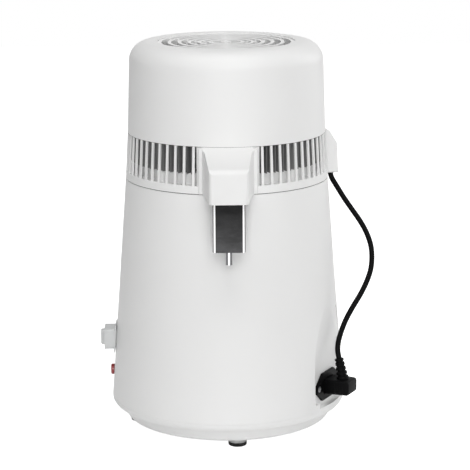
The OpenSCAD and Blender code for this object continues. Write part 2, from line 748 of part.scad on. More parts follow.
// Side view of the hood, its front edge rounded between the front face and the sloping top
module hood_side(front_in, top_in) {
    front = hood_y - front_in;
    top = hood_top_front - top_in;
    edge = 7;
    slant = norm([1, hood_slope]);
    middle = [front - edge, top - edge * (hood_slope + slant)];
    polygon([[60, ring_z - 1], [front, ring_z - 1], [front, middle[1]],
        middle + edge / slant * [-hood_slope, 1], [60, top - (front - 60) * hood_slope]]);
    translate(middle) circle(edge);
}
module hood_block() intersection() {
    translate([0, 0, ring_z]) linear_extrude(dome_z - ring_z) hood_plan();
    rotate([90, 0, -90]) linear_extrude(80, center = true) hood_side(0, 0);
    difference() {
        translate([0, 0, ring_z]) cylinder(r = 200, h = 100);
        translate([0, 0, ring_z - 1]) cylinder(r = inner_rib_r, h = 102);
    }
}
module hood_cavity() {
    intersection() {
        translate([0, 0, ring_z - 1]) linear_extrude(60) polygon([[-17, -78], [17, -78],
            [hood_mid - hood_wall, -dome_r - 8], [hood_front - 0.4, -hood_y + 7],
            [hood_front - hood_wall, -hood_y + hood_wall], [-hood_front + hood_wall, -hood_y + hood_wall],
            [-hood_front + 0.4, -hood_y + 7], [-hood_mid + hood_wall, -dome_r - 8]]);
        rotate([90, 0, -90]) linear_extrude(80, center = true) hood_side(hood_wall, wall);
    }
}
rail_y = [box_back + 7, box_y - 7];
module hood_rails() for (y = rail_y) for (s = [-1, 1])
    translate([s > 0 ? box_w / 2 + slide_gap : -hood_mid + 1, -y - 1, ring_z + 1])
        cube([hood_mid - 1 - box_w / 2 - slide_gap, 2, 14]);
tongue_y = 104;
module tongue() translate([0, -tongue_y, ring_z - tongue_l]) rotate([90, 0, 0]) linear_extrude(wall) {
    half_low = 16.3;
    half_high = 18.3;
    corner = 5;
    polygon([[-half_low, corner], [-half_low + corner, 0], [half_low - corner, 0], [half_low, corner],
        [half_high, tongue_l + 1], [-half_high, tongue_l + 1]]);
    for (s = [-1, 1]) translate([s * (half_low - corner), corner]) circle(corner);
}
module tongue_root() translate([-hood_mid, -tongue_y - wall, ring_z - 2])
    cube([2 * hood_mid, tongue_y + wall - joint_r + 3, 5]);
module gland_bump() toward(gland_az) intersection() {
    rotate([90, 0, 0]) linear_extrude(gland_w, center = true)
        polygon([[inner_rib_r, ring_z], [joint_r + gland_out, ring_z],
            [joint_r + gland_out - 1.5, dome_z - 14], [dome_r + 4, dome_z - 2],
            [dome_r, dome_z], [inner_rib_r, dome_z]]);
    translate([inner_rib_r, 0, 0]) rotate([90, 0, 90]) translate([0, (ring_z + dome_z) / 2, 0])
        linear_extrude(40) rounded_square(gland_w, dome_z - ring_z, 3);
}
module gland_room() toward(gland_az) {
    translate([gland_r, 0, ring_z - 1]) cylinder(r = lead_d / 2 + 2.2, h = 9);
    translate([inner_rib_r - 2, 0, ring_z + 18]) rotate([0, 90, 0])
        cylinder(r = 4, h = gland_r - inner_rib_r + 4);
    translate([gland_r, 0, ring_z + 5]) cylinder(r = lead_d / 2 + 1.4, h = 14);
}
slot_w = 2 * PI * ring_r(slot_z) / vent_count - rib_w;
hoop_w = 1.8;
hoop_h = 1.8;
gland_reach = 7.2;
module vent_slots() for (k = [hood_slots:vent_count - hood_slots])
    if (abs(k * vent_step - gland_az) > gland_reach) toward(k * vent_step) {
        translate([inner_rib_r - 2, -slot_w / 2, slot_z])
            cube([30, slot_w, dome_z - hoop_h - slot_z]);
        translate([inner_rib_r + hoop_w, -slot_w / 2, slot_z])
            cube([30, slot_w, dome_z - slot_z + 1]);
    }
module vent_ring() color(white_plastic) difference() {
    union() {
        difference() {
            rotate_extrude() polygon([[inner_rib_r, slot_z - 1.2], [inner_rib_r, dome_z],
                [dome_r, dome_z], [joint_r, ring_z], [joint_r - wall, ring_z],
                [ring_r(slot_z) - wall, slot_z - 1.2]]);
            vent_slots();
        }
        rotate_extrude() translate([collar_r, shelf_z]) {
            square([joint_r - wall - collar_r + 0.5, shelf_h]);
            square([2.2, shelf_h + collar_h]);
        }
        hood_block();
        gland_bump();
        tongue();
        at_head_screws() translate([0, 0, shelf_z]) cylinder(r = boss_r, h = dome_z - shelf_z);
    }
    difference() {
        hood_cavity();
        hood_rails();
        tongue_root();
    }
    gland_room();
    // Room for the gasket and the lid's edge under the shelf
    translate([0, 0, ring_z - 1]) cylinder(r = joint_r - wall, h = shelf_z - ring_z + 1);
    at_head_screws() translate([0, 0, shelf_z - 1]) {
        cylinder(r = 1.7, h = 60);
        cylinder(r = 3.2, h = screw_sink);
    }
}
module head_screws() color(steel) at_head_screws() translate([0, 0, shelf_z - 1 + screw_sink])
    mirror([0, 0, 1]) pan_screw(3, 2.2, 1.5, 26);

// Head: steam lid, port and gasket
port_r = 9;
lid_skirt_r = collar_r + 1;
module steam_lid() color(steel) rotate_extrude() {
    translate([lid_skirt_r, lid_z]) square([rim_r - lid_skirt_r, lid_t]);
    translate([lid_skirt_r, lid_plate_z]) square([lid_t, lid_z - lid_plate_z + lid_t]);
    translate([60, lid_plate_z]) square([lid_skirt_r - 60 + lid_t, lid_t]);
    polygon([[60.5, lid_plate_z], [60.5, lid_plate_z + lid_t], [port_r, lid_z + 5],
        [port_r, lid_z + 5 - lid_t]]);
}
module steam_port() color(steel) rotate_extrude() {
    translate([coil_d / 2 + 0.2, lid_z]) square([port_r - coil_d / 2 - 0.2 - 0.05, 9]);
    translate([coil_d / 2 + 0.2, lid_z + 5.3]) square([port_r - coil_d / 2 + 3, 3]);
}
module head_gasket() color([0.85, 0.85, 0.84]) rotate_extrude()
    translate([pot_r + 0.6, rim_z]) square([rim_r - pot_r - 0.6, gasket_h]);

// Head: condenser
coil_top = coil_z + coil_step;
rise = [[0, 0, lid_z + 2], [0, 0, coil_top - 12], [0, 0, coil_top], along(15, 12, coil_top),
    along(15, 40, coil_top), along(16, 54, coil_top), along(21, 60, coil_top)];
loops = [for (a = [27:9:342]) along(a, coil_r, coil_top),
    for (a = [350:5:370]) along(a, coil_r, coil_top - coil_step * smooth((a - 350) / 20)),
    for (a = [379:9:690]) along(a, coil_r, coil_z)];
drain = [[-14, -62.5, coil_z - 0.4], [-4, -72, coil_z - 1], [0, -86, coil_z - 2], [0, -106, coil_z - 3],
    [0, -outlet_y, coil_z - 4], [0, -outlet_y, coil_z - 12], [0, -outlet_y, ring_z + 3]];
coil_route = concat(cut_corners(cut_corners(rise)), loops, cut_corners(cut_corners(drain)));
module condenser_coil() color(steel)
    swept_tube(coil_route, coil_d, 8, [0, 0, 1], [0, 0, -1], [1, 0, 0]);
fin_first = 44;
fin_last = 328;
fin_low = coil_z - 8;
fin_high = coil_top + 8;
module fin_plate(t) difference() {
    translate([coil_r - fin_w / 2, -t / 2, fin_low]) cube([fin_w, t, fin_high - fin_low]);
    for (z = [coil_z, coil_top]) translate([coil_r, 0, z]) rotate([90, 0, 0])
        cylinder(d = coil_d + 2 * clear, h = t + 2, center = true);
}
module condenser_fins() color([0.8, 0.81, 0.82])
    for (k = [0:fin_count - 1])
        toward(fin_first + k * (fin_last - fin_first) / (fin_count - 1)) fin_plate(fin_t);
fin_pitch = (fin_last - fin_first) / (fin_count - 1);
module coil_bracket(k) color(steel)
    toward(fin_first + fin_pitch * (floor(fin_count * (2 * k - 1) / 6) + 0.5)) union() {
        fin_plate(1.4);
        translate([coil_r + fin_w / 2 - 0.5, -0.7, fin_low])
            cube([collar_r - coil_r - fin_w / 2 - clear + 0.5, 1.4, fin_high - fin_low]);
        translate([collar_r - 8, -5, shelf_z + shelf_h + collar_h + seat_gap])
            cube([10.2, 10, 1.4]);
    }

// Head: fan
module fan_frame() color(black_plastic) translate([0, 0, fan_z]) difference() {
    union() {
        difference() {
            union() {
                for (z = [0, fan_h - 3.6]) translate([0, 0, z])
                    linear_extrude(3.6) rounded_square(fan_w, fan_w, 5);
                cylinder(r = duct_r + 2, h = fan_h);
                at_fan_screws() cylinder(r = boss_r, h = fan_h);
            }
            translate([0, 0, -1]) cylinder(r = duct_r, h = fan_h + 2);
        }
        cylinder(r = hub_r + 1, h = 4);
        for (k = [0:3]) rotate([0, 0, 45 + k * 90]) translate([hub_r - 1, -3, 0])
            cube([duct_r - hub_r + 2, 6, 3]);
        cylinder(r = hub_r - 5, h = motor_h - 3);
        cylinder(r = shaft_r, h = motor_h + 1.5);
    }
    at_fan_screws() translate([0, 0, -1]) cylinder(r = 2.1, h = fan_h + 2);
}
blade_arc = 34;
blade_chord = 15;
blade_tilt = 30;
module blade() intersection() {
    difference() {
        cylinder(r = blade_r, h = blade_h);
        translate([0, 0, -1]) cylinder(r = hub_r - 1, h = blade_h + 2);
    }
    translate([0, 0, blade_h / 2]) rotate([-blade_tilt, 0, 0])
        translate([hub_r - 8, 0, -sqrt(blade_arc * blade_arc - blade_chord * blade_chord)])
        rotate([0, 90, 0]) difference() {
            cylinder(r = blade_arc + 0.8, h = duct_r);
            translate([0, 0, -1]) cylinder(r = blade_arc - 0.8, h = duct_r + 2);
        }
    translate([0, -blade_chord, 0]) cube([duct_r + 5, 2 * blade_chord, blade_h]);
}
// The rotor's cup turns on the shaft round the motor, its roof above the motor's top
cup_h = motor_h - 3;
module fan_rotor() color(black_plastic) translate([0, 0, rotor_z]) difference() {
    union() {
        cylinder(r = hub_r, h = cup_h);
        translate([0, 0, (cup_h - blade_h) / 2])
            for (k = [0:blade_count - 1]) rotate([0, 0, k * 360 / blade_count]) blade();
    }
    translate([0, 0, -3]) cylinder(r = hub_r - 2.4, h = cup_h - 2.5);
    translate([0, 0, -3]) cylinder(r = shaft_r + shaft_gap, h = fan_z + motor_h + 2 - rotor_z + 3);
}
module fan_screws() color(steel) at_fan_screws() translate([0, 0, fan_z])
    mirror([0, 0, 1]) pan_screw(3.6, 2.4, 1.6, fan_h + 4);

// Filter box
module box_plan(inset) rounded_square(box_w - 2 * inset, box_d - 2 * inset, 4 - inset);
module filter_box() color([0.5, 0.51, 0.53]) translate([0, -box_mid, box_z]) difference() {
    linear_extrude(box_h) box_plan(0);
    translate([0, 0, box_t]) linear_extrude(box_h) box_plan(box_t);
    translate([0, box_mid - outlet_y, -1]) cylinder(r = outlet_r, h = 4);
}
// The tube passes the box's floor, welded below it and flanged above it
outlet_bead = 0.9;
module outlet_tube() color(steel) translate([0, -outlet_y, box_z - outlet_l]) difference() {
    union() {
        cylinder(r = outlet_r, h = outlet_l + box_t);
        translate([0, 0, outlet_l - outlet_bead])
            cylinder(r1 = outlet_r, r2 = outlet_r + outlet_bead, h = outlet_bead);
        translate([0, 0, outlet_l + box_t]) cylinder(r = outlet_r + 1.8, h = 0.8);
    }
    translate([0, 0, -1]) cylinder(r = outlet_r - 0.8, h = outlet_l + 5);
}
strainer_z = box_z + 6;
strainer_pitch = 4.4;
sachet_h = 32;
module strainer() color(steel) translate([0, -box_mid, strainer_z]) difference() {
    union() {
        linear_extrude(1) box_plan(box_t + 0.2);
        for (s = [-1, 1]) translate([s * (box_w / 2 - 5), 0, -5]) cylinder(r = 2, h = 5.5);
    }
    for (i = [-2:2]) for (j = [-2:2]) if (abs(i) + abs(j) > 0)
        translate([i * strainer_pitch, j * strainer_pitch, -1]) cylinder(r = strainer_pitch / 4, h = 3);
}
module carbon_sachet() color([0.9, 0.89, 0.86]) translate([0, -box_mid, strainer_z + 1.4]) hull() {
    w = box_w - 2 * box_t - 2;
    d = box_d - 2 * box_t - 4;
    translate([0, 0, 9]) linear_extrude(14) rounded_square(w, d, 5, $fn = 24);
    linear_extrude(sachet_h) rounded_square(w - 4, 6, 2, $fn = 24);
}

// Fan lead, its gland and its plug
module gland_bush() color(rubber_black) toward(gland_az) translate([gland_r, 0, ring_z - 1.5]) {
    difference() {
        union() {
            cylinder(r = lead_d / 2 + 1.7, h = 2);
            translate([0, 0, 1.5]) cylinder(r = lead_d / 2 + 2.1, h = 6.5);
        }
        translate([0, 0, 2.5]) cylinder(r = lead_d / 2 + 0.2, h = 20);
    }
}
boot_axis = unit(boot_lean);
boot_top = along(socket_az, boot_top_d, boot_base_z + boot_h);
boot_axis_world = unit(boot_top - along(socket_az, boot_base_d, boot_base_z));
full_route = concat(lead_route, [boot_top + boot_axis_world * (lead_d * 0.5)], [boot_top]);
module fan_lead() color(rubber_black)
    swept_tube(cut_corners(full_route), lead_d, 10, [0, 0, -1], -boot_axis_world, [1, 0, 0]);
module lead_plug() color(black_plastic) upright(socket_az, plug_d, plug_z) difference() {
    union() {
        linear_extrude(plug_l - 3) rounded_square(plug_w, plug_h, 2);
        translate([0, 0, plug_l - 3 - eps]) linear_extrude(1.8) rounded_square(plug_w - 1.4, plug_h - 1.4, 2);
        translate([0, 0, plug_l - 1.2 - 2 * eps]) linear_extrude(1.2)
            rounded_square(plug_w - 4, plug_h - 4, 2);
        translate([0, 0, -plug_gap - plug_reach]) linear_extrude(plug_gap + plug_reach + 1)
            sleeve_outline(sleeve_w, sleeve_h, 2);
    }
    translate([0, 0, -plug_gap - plug_reach - 1]) linear_extrude(plug_reach + 1)
        sleeve_outline(sleeve_w - 2 * sleeve_t, sleeve_h - 2 * sleeve_t, 1);
}
module plug_pins() color([0.72, 0.6, 0.32])
    upright(socket_az, plug_d - plug_gap - plug_reach + 1, plug_z)
        linear_extrude(plug_reach - 1) pin_places() square([pin_t, pin_w], center = true);
module plug_boot() color(black_plastic) toward(socket_az) translate([boot_base_d, 0, boot_base_z])
    difference() {
        rotate([0, atan2(boot_top_d - boot_base_d, boot_h), 0]) {
            boot_l = norm(boot_lean);
            translate([0, 0, -2]) cylinder(r1 = 4.6, r2 = 3.4, h = boot_l + 2);
            for (i = [0:3]) translate([0, 0, i * 4.6 - 0.6])
                cylinder(r1 = 5.9 - i * 0.35, r2 = 5.6 - i * 0.35, h = 2.8);
            translate([0, 0, boot_l - 1.8]) cylinder(r = 4.7, h = 1.8);
        }
        translate([-10, -10, -10]) cube([20, 20, 10]);
    }

boiler_housing();
bottom_cover();
foot(1);  // foot_1
foot(2);  // foot_2
foot(3);  // foot_3
foot(4);  // foot_4
base_screws();
boiling_chamber();
insulating_jacket();
heat_plate();
heating_element();
heat_cutout();
plate_studs();
stud_nuts();
terminal_block();
switch_frame();
switch_body();
reset_bush();
fan_socket();
socket_screws();
mains_inlet();
inlet_pins();
inlet_screws();
power_button();
reset_button();
head_dome();
top_grille();
vent_ring();
steam_lid();
steam_port();
head_gasket();
condenser_coil();
condenser_fins();
coil_bracket(1);  // coil_bracket_1
coil_bracket(2);  // coil_bracket_2
coil_bracket(3);  // coil_bracket_3
fan_frame();
fan_screws();
head_screws();
gland_bush();
fan_lead();
fan_rotor();
filter_box();
outlet_tube();
strainer();
carbon_sachet();
lead_plug();
plug_pins();
plug_boot();
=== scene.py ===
import math

import bmesh
import bpy
from mathutils import Matrix, Vector


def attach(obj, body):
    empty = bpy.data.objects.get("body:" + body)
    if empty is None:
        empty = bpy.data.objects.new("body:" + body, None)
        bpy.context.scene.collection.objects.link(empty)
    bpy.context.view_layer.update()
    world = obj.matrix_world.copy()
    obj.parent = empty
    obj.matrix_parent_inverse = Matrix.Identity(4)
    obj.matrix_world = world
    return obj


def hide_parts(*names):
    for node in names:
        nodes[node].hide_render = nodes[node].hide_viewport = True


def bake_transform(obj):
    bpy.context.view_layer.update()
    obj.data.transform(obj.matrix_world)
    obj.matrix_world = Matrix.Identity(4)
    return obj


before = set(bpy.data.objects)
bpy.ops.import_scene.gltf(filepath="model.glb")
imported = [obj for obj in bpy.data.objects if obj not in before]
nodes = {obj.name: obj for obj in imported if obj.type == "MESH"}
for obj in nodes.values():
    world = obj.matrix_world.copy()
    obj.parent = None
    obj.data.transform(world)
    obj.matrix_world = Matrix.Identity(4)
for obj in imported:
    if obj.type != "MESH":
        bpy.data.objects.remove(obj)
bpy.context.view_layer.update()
scene = bpy.context.scene
print("distiller frame loaded:", len(nodes), "parts")


def mm(*values):
    return Vector(values) / 1000


def outwardAt(azimuth):
    # azimuths are in degrees, from the front toward +X
    turn = math.radians(azimuth)
    return math.sin(turn), -math.cos(turn)


def roundPoint(azimuth, distance, height):
    x, y = outwardAt(azimuth)
    return mm(x * distance, y * distance, height)


def pick(piece):
    # this piece alone is selected and active
    if bpy.context.object and bpy.context.object.mode != "OBJECT":
        bpy.ops.object.mode_set(mode="OBJECT")
    bpy.ops.object.select_all(action="DESELECT")
    piece.select_set(True)
    bpy.context.view_layer.objects.active = piece


# camera: height, distance and tilt that the product was photographed from, its angles in radians
shot = {
    "eye": (-22.53, -1819.98, 595.87),
    "tiltDown": 0.22196,
    "turnRight": math.radians(0.95),
    "roll": -0.00497,
    "lens": 146.05,
    "sensor": 36,
    "clip": (0.05, 50),
}
bpy.ops.object.camera_add(location=mm(*shot["eye"]))
camera = bpy.context.object
camera.name = "productCamera"
tilt, swing = shot["tiltDown"], shot["turnRight"]
sideways = Vector((math.cos(swing), -math.sin(swing), 0))
ahead = Vector((math.cos(tilt) * math.sin(swing), math.cos(tilt) * math.cos(swing), -math.sin(tilt)))
level = Matrix((sideways, sideways.cross(ahead), -ahead)).transposed()
aim = level @ Matrix.Rotation(shot["roll"], 3, "Z")
camera.matrix_world = Matrix.Translation(mm(*shot["eye"])) @ aim.to_4x4()
camera.data.lens = shot["lens"]
camera.data.sensor_width = shot["sensor"]
camera.data.clip_start, camera.data.clip_end = shot["clip"]
scene.camera = camera

# fan lead: leaves the head's gland, swings out to the side and comes down into the plug
fanLead = {
    "diameter": 5.2,
    "gland": (101.73, 17.94, 243.6),
    "route": [
        (103, 18.5, 238), (107.5, 15.5, 231), (115, 10, 219), (123, 5.5, 208), (131, 0.5, 197),
        (137, -4, 186), (140.5, -9, 175), (141, -14, 164), (139.5, -18.5, 153), (135, -23, 142),
        (129, -28, 131.5), (121.5, -33, 121), (114.5, -38, 110), (109.5, -43, 99.5),
        (106, -49, 90), (105, -54, 82.5),
    ],
    "bootTop": (106.395, -56.571, 75),
    "bootFoot": (109.927, -58.449, 56),
    "leadIn": 2.6,  # straight stretch before the boot
    "splitAt": 0.5,
    "heldAtTop": 4,  # points of the smooth path that keep to the head, and to the plug
    "heldAtFoot": 6,
    "sides": 24,
    "smoothing": 3,
}


def roundedRoute(points, passes):
    # cuts each corner at a quarter, which turns the chosen route into a smooth curve
    for _ in range(passes):
        cut = [points[0]]
        for a, b in zip(points, points[1:]):
            cut += [a * 0.75 + b * 0.25, a * 0.25 + b * 0.75]
        points = cut + [points[-1]]
    return points


def routeLength(path):
    return sum((b - a).length for a, b in zip(path, path[1:]))


def sweptTube(name, path, diameter, sides):
    # a tube of rings square to its path, with closed ends and a UV map along it
    shape = bmesh.new()
    uvs = shape.loops.layers.uv.new("UVMap")
    rings, along, up = [], 0.0, Vector((1, 0, 0))
    for i, p in enumerate(path):
        before, after = path[max(i - 1, 0)], path[min(i + 1, len(path) - 1)]
        heading = (after - before).normalized()
        up = (up - heading * up.dot(heading)).normalized()
        side = heading.cross(up)
        if i:
            along += (p - path[i - 1]).length
        ring = [
            shape.verts.new(p + (up * math.cos(a) + side * math.sin(a)) * diameter / 2)
            for a in (2 * math.pi * k / sides for k in range(sides))
        ]
        rings.append((ring, along))
    for (low, vLow), (high, vHigh) in zip(rings, rings[1:]):
        for k in range(sides):
            n = (k + 1) % sides
            face = shape.faces.new((low[k], low[n], high[n], high[k]))
            face.smooth = True
            corners = [(k, vLow), (k + 1, vLow), (k + 1, vHigh), (k, vHigh)]
            for loop, (u, v) in zip(face.loops, corners):
                loop[uvs].uv = (u / sides, v)
    shape.faces.new(list(reversed(rings[0][0])))
    shape.faces.new(rings[-1][0])
    bmesh.ops.recalc_face_normals(shape, faces=shape.faces)
    mesh = bpy.data.meshes.new(name)
    shape.to_mesh(mesh)
    shape.free()
    piece = bpy.data.objects.new(name, mesh)
    scene.collection.objects.link(piece)
    return piece


leadDiameter = fanLead["diameter"] / 1000
bootTop, bootFoot = mm(*fanLead["bootTop"]), mm(*fanLead["bootFoot"])
bootAxis = (bootTop - bootFoot).normalized()
leadPoints = [mm(*p) for p in (fanLead["gland"], *fanLead["route"])]
leadPoints += [bootTop + bootAxis * (fanLead["leadIn"] / 1000), bootTop]
leadPath = roundedRoute(leadPoints, fanLead["smoothing"])
half = int(len(leadPath) * fanLead["splitAt"])
upperPath, lowerPath = leadPath[: half + 1], leadPath[half:]
leadTop = sweptTube("fanLeadUpper", upperPath, leadDiameter, fanLead["sides"])
leadFoot = sweptTube("fanLeadLower", lowerPath, leadDiameter, fanLead["sides"])
print("fan lead laid:", round(routeLength(leadPath) * 1000), "mm")


# materials: patterns are in turns per metre and heights in metres
def shaderOf(material):
    return material.node_tree.nodes["Principled BSDF"]


def link(owner, start, end):
    owner.node_tree.links.new(start, end)


def node(owner, kind, sockets=None, **settings):
    # after its settings, each socket gets its value or is fed by the output given for it
    made = owner.node_tree.nodes.new(kind)
    for key, value in settings.items():
        setattr(made, key, value)
    for key, value in (sockets or {}).items():
        if isinstance(value, bpy.types.NodeSocket):
            link(owner, value, made.inputs[key])
        else:
            made.inputs[key].default_value = value
    return made


def drive(material, socket, output):
    link(material, output, shaderOf(material).inputs[socket])


def objectPlace(material, scale=(1, 1, 1)):
    coordinates = node(material, "ShaderNodeTexCoord")
    mapping = node(material, "ShaderNodeMapping", {"Vector": coordinates.outputs["Object"], "Scale": scale})
    return mapping.outputs["Vector"]


def axisOf(material, axis):
    return node(material, "ShaderNodeSeparateXYZ", {"Vector": objectPlace(material)}).outputs[axis]


def noise(material, place, scale, detail, rough=0.5):
    sockets = {"Vector": place, "Scale": scale, "Detail": detail, "Roughness": rough}
    return node(material, "ShaderNodeTexNoise", sockets).outputs["Fac"]


def ramp(material, value, stops):
    # each stop is a place on the ramp and the colour there
    made = node(material, "ShaderNodeValToRGB", {"Fac": value})
    elements = made.color_ramp.elements
    while len(elements) < len(stops):
        elements.new(0.5)
    for element, (place, color) in zip(elements, stops):
        element.position = place
        element.color = (*color, 1)
    return made.outputs["Color"]


def remap(owner, value, low, high):
    made = node(owner, "ShaderNodeMapRange", {"Value": value, "To Min": low, "To Max": high})
    return made.outputs["Result"]


def reckoned(owner, operation, *terms):
    return node(owner, "ShaderNodeMath", dict(enumerate(terms)), operation=operation).outputs["Value"]


def newMaterial(name, baseColor, roughness, metallic=0.0, coat=0.0, specular=0.5):
    material = bpy.data.materials.new(name)
    material.use_nodes = True
    values = {
        "Base Color": (*baseColor, 1), "Roughness": roughness, "Metallic": metallic, "Coat Weight": coat,
        "Coat Roughness": 0.1, "Specular IOR Level": specular,
    }
    for socket, value in values.items():
        shaderOf(material).inputs[socket].default_value = value
    return material


def bump(material, height, distance):
    made = node(material, "ShaderNodeBump", {"Height": height, "Distance": distance})
    drive(material, "Normal", made.outputs["Normal"])


def tinted(material, pattern, color, dark, light, spread=0.2):
    # the colour follows the pattern from its dark share to its light one
    stops = [(0.5 - spread, dark), (0.5 + spread, light)]
    tones = [(place, tuple(min(1.0, c * share) for c in color)) for place, share in stops]
    drive(material, "Base Color", ramp(material, pattern, tones))


def mouldedPlastic(name, color, roughness, grain=900, grainHeight=0.00004, mottle=0.015, coat=0.0,
                   specular=0.5):
    # fine eroded grain, a faint mottle of colour, and roughness that wanders a little
    material = newMaterial(name, color, roughness, coat=coat, specular=specular)
    place = objectPlace(material)
    tinted(material, noise(material, place, scale=14, detail=3), color, 1 - mottle, 1 + mottle)
    wander = noise(material, place, scale=60, detail=3)
    drive(material, "Roughness", remap(material, wander, roughness - 0.04, roughness + 0.05))
    bump(material, noise(material, place, grain, detail=2, rough=0.6), grainHeight)
    return material


def brushedMetal(name, color, roughness, stretch=(40, 40, 1400)):
    # drawn lines run square to the axis that has the large stretch
    material = newMaterial(name, color, roughness, metallic=1.0)
    lines = noise(material, objectPlace(material, stretch), scale=1, detail=4, rough=0.7)
    tinted(material, lines, color, 0.9, 1.07)
    drive(material, "Roughness", remap(material, lines, roughness - 0.08, roughness + 0.1))
    bump(material, lines, 0.00001)
    return material


def fibreCloth(name, color, fibres):
    # matted fibres with a soft sheen
    material = newMaterial(name, color, 0.95, specular=0.2)
    shaderOf(material).inputs["Sheen Weight"].default_value = 0.35
    matted = noise(material, objectPlace(material), fibres, detail=6, rough=0.75)
    tinted(material, matted, color, 0.72, 1.05, spread=0.25)
    bump(material, matted, 0.0006)
    return material


shellWhite = (0.86, 0.86, 0.855)
deepBlack = (0.002, 0.002, 0.0022)
shellGrain = {"grain": 1400, "grainHeight": 0.00002, "mottle": 0.006}
plastics = {
    "whiteShell": {"color": shellWhite, "roughness": 0.5, **shellGrain},
    "shadedPost": {"color": shellWhite, "roughness": 0.55, "specular": 0.2, **shellGrain},
    "grilleWhite": {"color": (0.94, 0.94, 0.935), "roughness": 0.5, **shellGrain},
    "baseShell": {"color": shellWhite, "roughness": 0.5, **shellGrain, "mottle": 0.008},
    "switchGrey": {"color": (0.62, 0.63, 0.63), "roughness": 0.45},
    "resetRed": {"color": (0.26, 0.012, 0.014), "roughness": 0.3, "mottle": 0.05, "coat": 0.2},
    "socketBlack": {
        "color": deepBlack, "roughness": 0.5, "grain": 700, "grainHeight": 0.00005, "mottle": 0.12,
        "specular": 0.05,
    },
    "fanBlack": {
        "color": (0.02, 0.02, 0.021), "roughness": 0.5, "grain": 600, "grainHeight": 0.00005, "mottle": 0.1,
    },
    "footRubber": {
        "color": (0.012, 0.012, 0.012), "roughness": 0.8, "grain": 500, "grainHeight": 0.0001,
        "mottle": 0.2, "specular": 0.2,
    },
    "leadRubber": {
        "color": deepBlack, "roughness": 0.5, "grain": 900, "grainHeight": 0.00003, "mottle": 0.1,
        "specular": 0.06,
    },
    # painted shade: the louvre's dark grey stands for the shade inside the vent ring
    "louvreGrey": {"color": (0.2, 0.2, 0.2), "roughness": 0.6, "specular": 0.2},
    # painted shade: the black of the dark rings in the joints
    "sealBlack": {
        "color": (0.05, 0.05, 0.05), "roughness": 0.7, "grain": 500, "grainHeight": 0.00003, "mottle": 0.1,
        "specular": 0.2,
    },
    "sealSilicone": {
        "color": (0.74, 0.74, 0.72), "roughness": 0.55, "grain": 400, "grainHeight": 0.00004, "mottle": 0.03,
    },
    "terminalCeramic": {
        "color": (0.78, 0.76, 0.7), "roughness": 0.3, "grain": 300, "grainHeight": 0.00003, "mottle": 0.03,
    },
}
metals = {
    "potSteel": {"color": (0.6, 0.6, 0.61), "roughness": 0.3},
    "screwSteel": {"color": (0.55, 0.55, 0.56), "roughness": 0.35, "stretch": (900, 900, 900)},
    # painted reflection: the box steel's dark colour stands for the dark surroundings it mirrors
    "boxSteel": {"color": (0.09, 0.09, 0.092), "roughness": 0.2, "stretch": (30, 30, 2200)},
    # painted reflection: the tube steel's dark colour stands for the dark surroundings it mirrors
    "tubeSteel": {"color": (0.1, 0.1, 0.105), "roughness": 0.2, "stretch": (900, 900, 60)},
    "elementSteel": {"color": (0.3, 0.28, 0.27), "roughness": 0.45},
    # painted shade: the fins are far darker than bare aluminium, as they sit in the dim inside of the head
    "finAluminium": {"color": (0.3, 0.3, 0.31), "roughness": 0.5, "stretch": (900, 900, 60)},
    "plateAluminium": {"color": (0.7, 0.7, 0.71), "roughness": 0.42, "stretch": (300, 300, 300)},
    "pinBrass": {"color": (0.7, 0.5, 0.2), "roughness": 0.25, "stretch": (1200, 1200, 60)},
}
cloths = {
    "jacketFelt": {"color": (0.62, 0.58, 0.48), "fibres": 260},
    "sachetCloth": {"color": (0.82, 0.8, 0.74), "fibres": 420},
}
finishes = {}
for maker, table in ((mouldedPlastic, plastics), (brushedMetal, metals), (fibreCloth, cloths)):
    for name, values in table.items():
        finishes[name] = maker(name, **values)


def mixIntoColor(material, factor, blend):
    # the colour so far is multiplied by the factor, or the factor is added to it
    drawn = shaderOf(material).inputs["Base Color"].links[0].from_socket
    mixed = node(material, "ShaderNodeMix", {"Factor": 1.0, "A": drawn, "B": factor},
                 data_type="RGBA", blend_type=blend)
    drive(material, "Base Color", mixed.outputs["Result"])


def shadedByHeight(material, stops, mottle=0.0):
    # painted shade: the colour is darkened by height, each stop a height in mm and the share of the colour
    # left there; mottle clouds it
    low, high = stops[0][0], stops[-1][0]
    rise = node(material, "ShaderNodeMapRange",
                {"Value": axisOf(material, "Z"), "From Min": low / 1000, "From Max": high / 1000})
    shares = [((z - low) / (high - low), (share,) * 3) for z, share in stops]
    mixIntoColor(material, ramp(material, rise.outputs["Result"], shares), "MULTIPLY")
    if mottle:
        clouds = noise(material, objectPlace(material, (60, 60, 150)), scale=1, detail=3, rough=0.6)
        cloudShares = [(0.3, (1 - mottle,) * 3), (0.7, (1, 1, 1))]
        mixIntoColor(material, ramp(material, clouds, cloudShares), "MULTIPLY")


def paintedHighlightBands(material, bands, span=20):
    # painted highlights: upright bands of brightness added to the steel's colour, each a distance from the
    # middle plane in mm and the brightness added there; the ramp covers the span
    away = reckoned(material, "ABSOLUTE", axisOf(material, "X"))
    across = reckoned(material, "MULTIPLY", away, 1000 / span)
    shine = ramp(material, across, [(distance / span, (added,) * 3) for distance, added in bands])
    mixIntoColor(material, shine, "ADD")


# painted reflection: the box steel's colour darkens toward its top, clouded by mottle
shadedByHeight(finishes["boxSteel"], [(190, 1.0), (208, 0.7), (228, 0.32), (240, 0.2)], mottle=0.4)
# painted shade: the posts' white darkens sharply above the collar
shadedByHeight(finishes["shadedPost"], [(248, 1.0), (262, 1.0), (262.8, 0.22), (290, 0.22)])
# painted shade: the bottom cover is half as bright below 6 mm, on its foot posts under the base
shadedByHeight(finishes["baseShell"], [(0, 0.5), (6.0, 0.5), (6.6, 1.0), (30, 1.0)])
